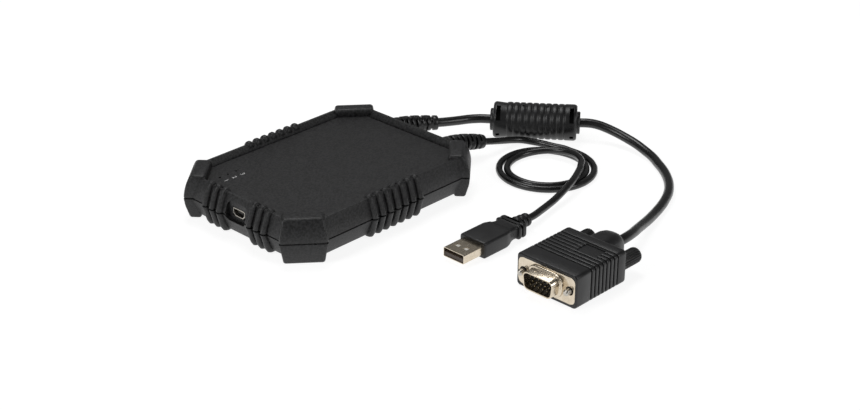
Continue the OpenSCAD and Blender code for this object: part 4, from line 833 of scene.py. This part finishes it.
# The tail's three fat rings, as (along, drop from the ring's radius)
TAIL_RINGS, TAIL_PITCH, TAIL_R = 3, 3.05, 3.65
TAIL_RING = ((0, 0.95), (0.35, 0.95), (0.5, 0.35), (0.85, 0.05), (1.4, 0), (2.1, 0), (2.6, 0.2),
             (2.8, 0.6), (2.85, 0.95))
outline = [(39, 0.5), (39, 3)]
for i in range(TAIL_RINGS):
    outline += [(39.6 + TAIL_PITCH * i + x, TAIL_R - 0.25 * i - drop) for x, drop in TAIL_RING]
outline += [(48.8, 2.0), (48.8, 0.5)]
tail = new_mesh()
turned_x(tail, outline, 40)
join(grip, tail)
finish(grip, "usb_plug_body", moulded_pvc, replaces=("usb_plug_grip",), at=at_usb,
       smooth=38)

# White pads of the insulator that the two windows in the shell's top show
for side, name in ((1, "left"), (-1, "right")):
    pad = block((4.4, side * 2.4 - 1.1, 1.5), (6.4, side * 2.4 + 1.1, 1.93))
    finish(pad, f"usb_plug_window_pad_{name}", white_nylon, at=at_usb)

# ---------------------------------------------------------------- VGA plug
at_vga = Matrix.Translation(VGA_PLUG)
HOOD_W, HOOD_H = 32.6, 15.6
RIDGE_X, RIDGE_PITCH, HOOD_GROOVES = 9.7, 2.5, 8
SCREW_Y = 12.5
# Sections of the hood along x: inset and corner radius, with a groove as its two walls and floor
HOOD_GROOVE = ((-0.75, 0, 1.8), (-0.45, 0.12, 1.7), (-0.3, 0.6, 1.3), (0.3, 0.6, 1.3),
               (0.45, 0.12, 1.7), (0.75, 0, 1.8))
hood_rings = [(0, 0.5, 1.3), (0.35, 0.12, 1.7), (0.8, 0, 1.8)]
for i in range(HOOD_GROOVES):
    hood_rings += [(RIDGE_X + RIDGE_PITCH * i + x, inset, r) for x, inset, r in HOOD_GROOVE]
hood_rings += [(32, 0, 1.8), (32.6, 0.15, 1.7), (HOOD_LEN, 0.6, 1.4)]
hood = new_mesh()
loft(hood, [across_x(x, round_rect(HOOD_W - 2 * inset, HOOD_H - 2 * inset, r, 5))
            for x, inset, r in hood_rings])
hood = cut(hood, prism_x(round_rect(30.9, 12.6, 2.4, 5), -1, 0.8))
# A sunk pad on the top, with four ticks beside it
hood = cut(hood, block((18.6, -10.6, 7.3), (25.8, -0.2, 9)))
join(hood, block((18.7, -10.5, 5), (25.7, -0.3, 7.45)))
for i in range(3, 7):
    x = RIDGE_X + RIDGE_PITCH * i
    join(hood, block((x - 0.5, -0.6, 5), (x + 0.1, 1.6, 7.75)))
# Sections of the hump behind the hood along x: width, height and corner radius
HUMP = [(32, 13, 14.4, 4.2), (37, 13, 14.6, 4.2), (40.5, 12.9, 14.4, 4.3), (43.4, 12.2, 13.4, 4.4),
        (45.4, 10.8, 11.6, 4.4), (46.7, 8.6, 9.2, 3.9), (47.3, 6.6, 7, 3.2), (47.5, 5.2, 5.2, 2.58)]
hump = new_mesh()
loft(hump, [across_x(x, round_rect(w, h, r, 6)) for x, w, h, r in HUMP])
join(hood, hump)
finish(hood, "vga_plug_hood", moulded_pvc, replaces=("vga_hood",), at=at_vga,
       smooth=38)

plate = round_rect(30.8, 12.5, 2.4, 5)
shell = new_mesh()
plate_loops = loft(shell, [across_x(0.8, plate), across_x(0, plate)])
soften(shell, plate_loops[1], 0.15, 2)
for side in (-1, 1):
    hole = [(a + side * SCREW_Y, b) for a, b in round_rect(4.1, 4.1, 2.04, 8)]
    shell = cut(shell, prism_x(hole, -1, 2))
# Sections of the D collar along x, from its drawn foot to the rim and back inside: growth
COLLAR = ((0.1, 1.4), (-0.5, 1.4), (-0.85, 1.3), (-1.05, 1.05), (-1.12, 0.7), (-1.15, 0.3),
          (-1.3, 0.08), (-1.6, 0), (-5.7, 0), (-5.8, -0.06), (-5.8, -0.58), (-5.7, -0.65),
          (-5.2, -0.65), (0.1, -0.65))
collar = new_mesh()
loft(collar, [across_x(x, d_outline(16.9 + 2 * grow, 8.4 + 2 * grow, 2.6 + grow))
              for x, grow in COLLAR])
join(shell, collar)
for i in range(3):
    dimple = new_mesh()
    bmesh.ops.create_uvsphere(dimple, u_segments=16, v_segments=8, radius=0.85)
    dimple.transform(Matrix.Translation((-3.3, (i - 1) * 3.7, 3.75))
                     @ Matrix.Diagonal((1, 1, 0.7, 1)))
    join(shell, dimple)
finish(shell, "vga_plug_shell", nickel_plate, replaces=("vga_shell",), at=at_vga,
       smooth=40)

PIN_PITCH, ROW_PITCH, ROW_SHIFT = 2.29, 1.98, 0.57
pin = new_mesh()
turned_x(pin, [(-4.3, 0), (-4.26, 0.16), (-4.1, 0.26), (-3.85, 0.3), (-1.1, 0.3), (-1.1, 0)], 16,
         caps=False)
pins = new_mesh()
copies(pins, pin, [Matrix.Translation((0, i * PIN_PITCH + (ROW_SHIFT if row else -ROW_SHIFT),
                                       -row * ROW_PITCH))
                   for row in (-1, 0, 1) for i in range(-2, 3)])
finish(pins, "vga_plug_pins", gold_plate, replaces=("vga_pins",), at=at_vga)

FLUTES = 22
THREADS, THREAD_PITCH, THREAD_X = 4, 0.635, -2.6
THREAD = ((0.08, 1.36), (0.2, 1.42), (0.44, 1.42), (0.56, 1.36))
# Sections of the knob along x: radius and depth of its flutes
KNOB = ((33.25, 3.0, 0.05), (33.45, 3.35, 0.2), (33.9, 3.6, 0.3), (43.4, 3.6, 0.3),
        (44.1, 3.45, 0.25), (44.55, 3.1, 0.1), (44.75, 2.6, 0.02))


def fluted(x, r, depth):
    """Ring of the knob, with square flutes."""
    ring = []
    for k in range(4 * FLUTES):
        a = 2 * pi * k / (4 * FLUTES)
        reach = r - (depth if k % 4 >= 2 else 0)
        ring.append((x, reach * cos(a), reach * sin(a)))
    return ring


for side, name in ((1, "left"), (-1, "right")):
    at_screw = at_vga @ Matrix.Translation((0, side * SCREW_Y, 0))
    outline = [(-3.1, 0), (-3.1, 0.8), (-2.95, 1.0), (-2.6, 1.25)]
    for i in range(THREADS):
        outline += [(THREAD_X + THREAD_PITCH * i + x, r) for x, r in THREAD]
    outline += [(0.2, 1.37), (39.2, 1.37), (39.2, 0)]
    screw = new_mesh()
    turned_x(screw, outline, 32, caps=False)
    finish(screw, f"jackscrew_shaft_{name}", zinc_plate,
           body=f"thumbscrew_{name}", replaces=(f"jackscrew_{name}",), at=at_screw)
    knob = new_mesh()
    loft(knob, [fluted(*section) for section in KNOB])
    knob = cut(knob, block((43.9, -2.7, -0.45), (45.5, 2.7, 0.45)))
    knob = cut(knob, prism_x(round_rect(2.8, 2.8, 1.39, 8), 33, 39.4))
    finish(knob, f"thumb_knob_{name}", knob_nylon, body=f"thumbscrew_{name}",
           replaces=(f"screw_knob_{name}",), at=at_screw, smooth=30)

# ---------------------------------------------------------------- CAD nodes that stay
KEPT = {
    "main_board": circuit_board, "video_processor": chip_epoxy, "video_digitizer": chip_epoxy,
    "usb_controller": chip_epoxy, "memory_chips": chip_epoxy, "crystals": drawn_aluminium,
    "capacitors": drawn_aluminium, "inductors": sintered_ferrite,
    "voltage_regulators": chip_epoxy, "small_passives": fired_ceramic,
    "mini_usb_shell": zinc_plate, "mini_usb_insulator": black_nylon,
    "mini_usb_contacts": gold_plate, "status_leds": lamp_epoxy, "light_pipes": smoked_acrylic,
    "video_header": white_nylon, "usb_header": white_nylon, "video_cable_tail": cord_pvc,
    "usb_cable_tail": cord_pvc, "board_screws": zinc_plate, "case_screws": blackened_steel,
    "ferrite_core": sintered_ferrite, "usb_plug_shell": nickel_plate,
    "usb_plug_tongue": tongue_painted_shade, "usb_plug_contacts": gold_plate,
    "vga_insulator": black_nylon}
for name, material in KEPT.items():
    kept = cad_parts[name]
    kept.data.materials.clear()
    kept.data.materials.append(material)


# ---------------------------------------------------------------- floor and light
FLOOR_SIZE, PAPER_GLOW = 4, 0.87
AIM = Vector((0.04, -0.04, 0))
floor_mesh = bpy.data.meshes.new("floor")
bm = new_mesh()
bmesh.ops.create_grid(bm, x_segments=1, y_segments=1, size=FLOOR_SIZE)
bm.to_mesh(floor_mesh)
bm.free()
floor = bpy.data.objects.new("floor", floor_mesh)
bpy.context.collection.objects.link(floor)

# White studio paper: it scatters light back up at the object, and shows to the camera as white
paper = bpy.data.materials.new("studio_paper")
paper.use_nodes = True
tree = paper.node_tree
tree.nodes.clear()
matt = add(tree, "ShaderNodeBsdfDiffuse", {"Color": colour("#8f8f8f")})
ray = add(tree, "ShaderNodeLightPath")
seen = ray.outputs["Is Camera Ray"]
for kind in ("Is Glossy Ray", "Is Transmission Ray"):
    seen = add(tree, "ShaderNodeMath", {0: seen, 1: ray.outputs[kind]},
               operation="MAXIMUM").outputs[0]
level = add(tree, "ShaderNodeMath", {0: seen, 1: PAPER_GLOW}, operation="MULTIPLY")
glow = add(tree, "ShaderNodeEmission", {"Color": (1, 1, 1, 1), "Strength": level.outputs[0]})
both = add(tree, "ShaderNodeAddShader", {0: matt.outputs[0], 1: glow.outputs[0]})
add(tree, "ShaderNodeOutputMaterial", {"Surface": both.outputs[0]})
floor_mesh.materials.append(paper)

# A light tent: bright round the horizon, and darker overhead where the camera rig is
world = bpy.data.worlds.new("light_tent")
world.use_nodes = True
bpy.context.scene.world = world
tree = world.node_tree
tree.nodes.clear()
ray = add(tree, "ShaderNodeLightPath")
direction = add(tree, "ShaderNodeTexCoord").outputs["Generated"]
height = add(tree, "ShaderNodeSeparateXYZ", {0: direction}).outputs["Z"]
dim = add(tree, "ShaderNodeMapRange", {"Value": height, "From Min": 0.1, "From Max": 0.9,
                                       "To Min": 0.22, "To Max": 0.1}).outputs[0]
white = add(tree, "ShaderNodeMix", {0: ray.outputs["Is Camera Ray"], 2: dim, 3: 1.0},
            data_type="FLOAT")
back = add(tree, "ShaderNodeBackground", {"Color": (1, 1, 1, 1), "Strength": white.outputs[0]})
add(tree, "ShaderNodeOutputWorld", {"Surface": back.outputs[0]})


def softbox(name, where, size, watts):
    """Square lamp that faces the middle of the object. Places are in metres."""
    data = bpy.data.lights.new(name, "AREA")
    data.shape, data.size, data.energy = "SQUARE", size, watts
    lamp = bpy.data.objects.new(name, data)
    lamp.location = where
    lamp.rotation_euler = (AIM - Vector(where)).to_track_quat("-Z", "Y").to_euler()
    bpy.context.collection.objects.link(lamp)


softbox("top_softbox", (0.25, 0.3, 1.0), 0.5, 3.5)
softbox("left_softbox", (-0.9, 0.15, 0.7), 0.4, 3.6)
softbox("right_softbox", (0.2, -1.0, 0.5), 0.4, 2.3)
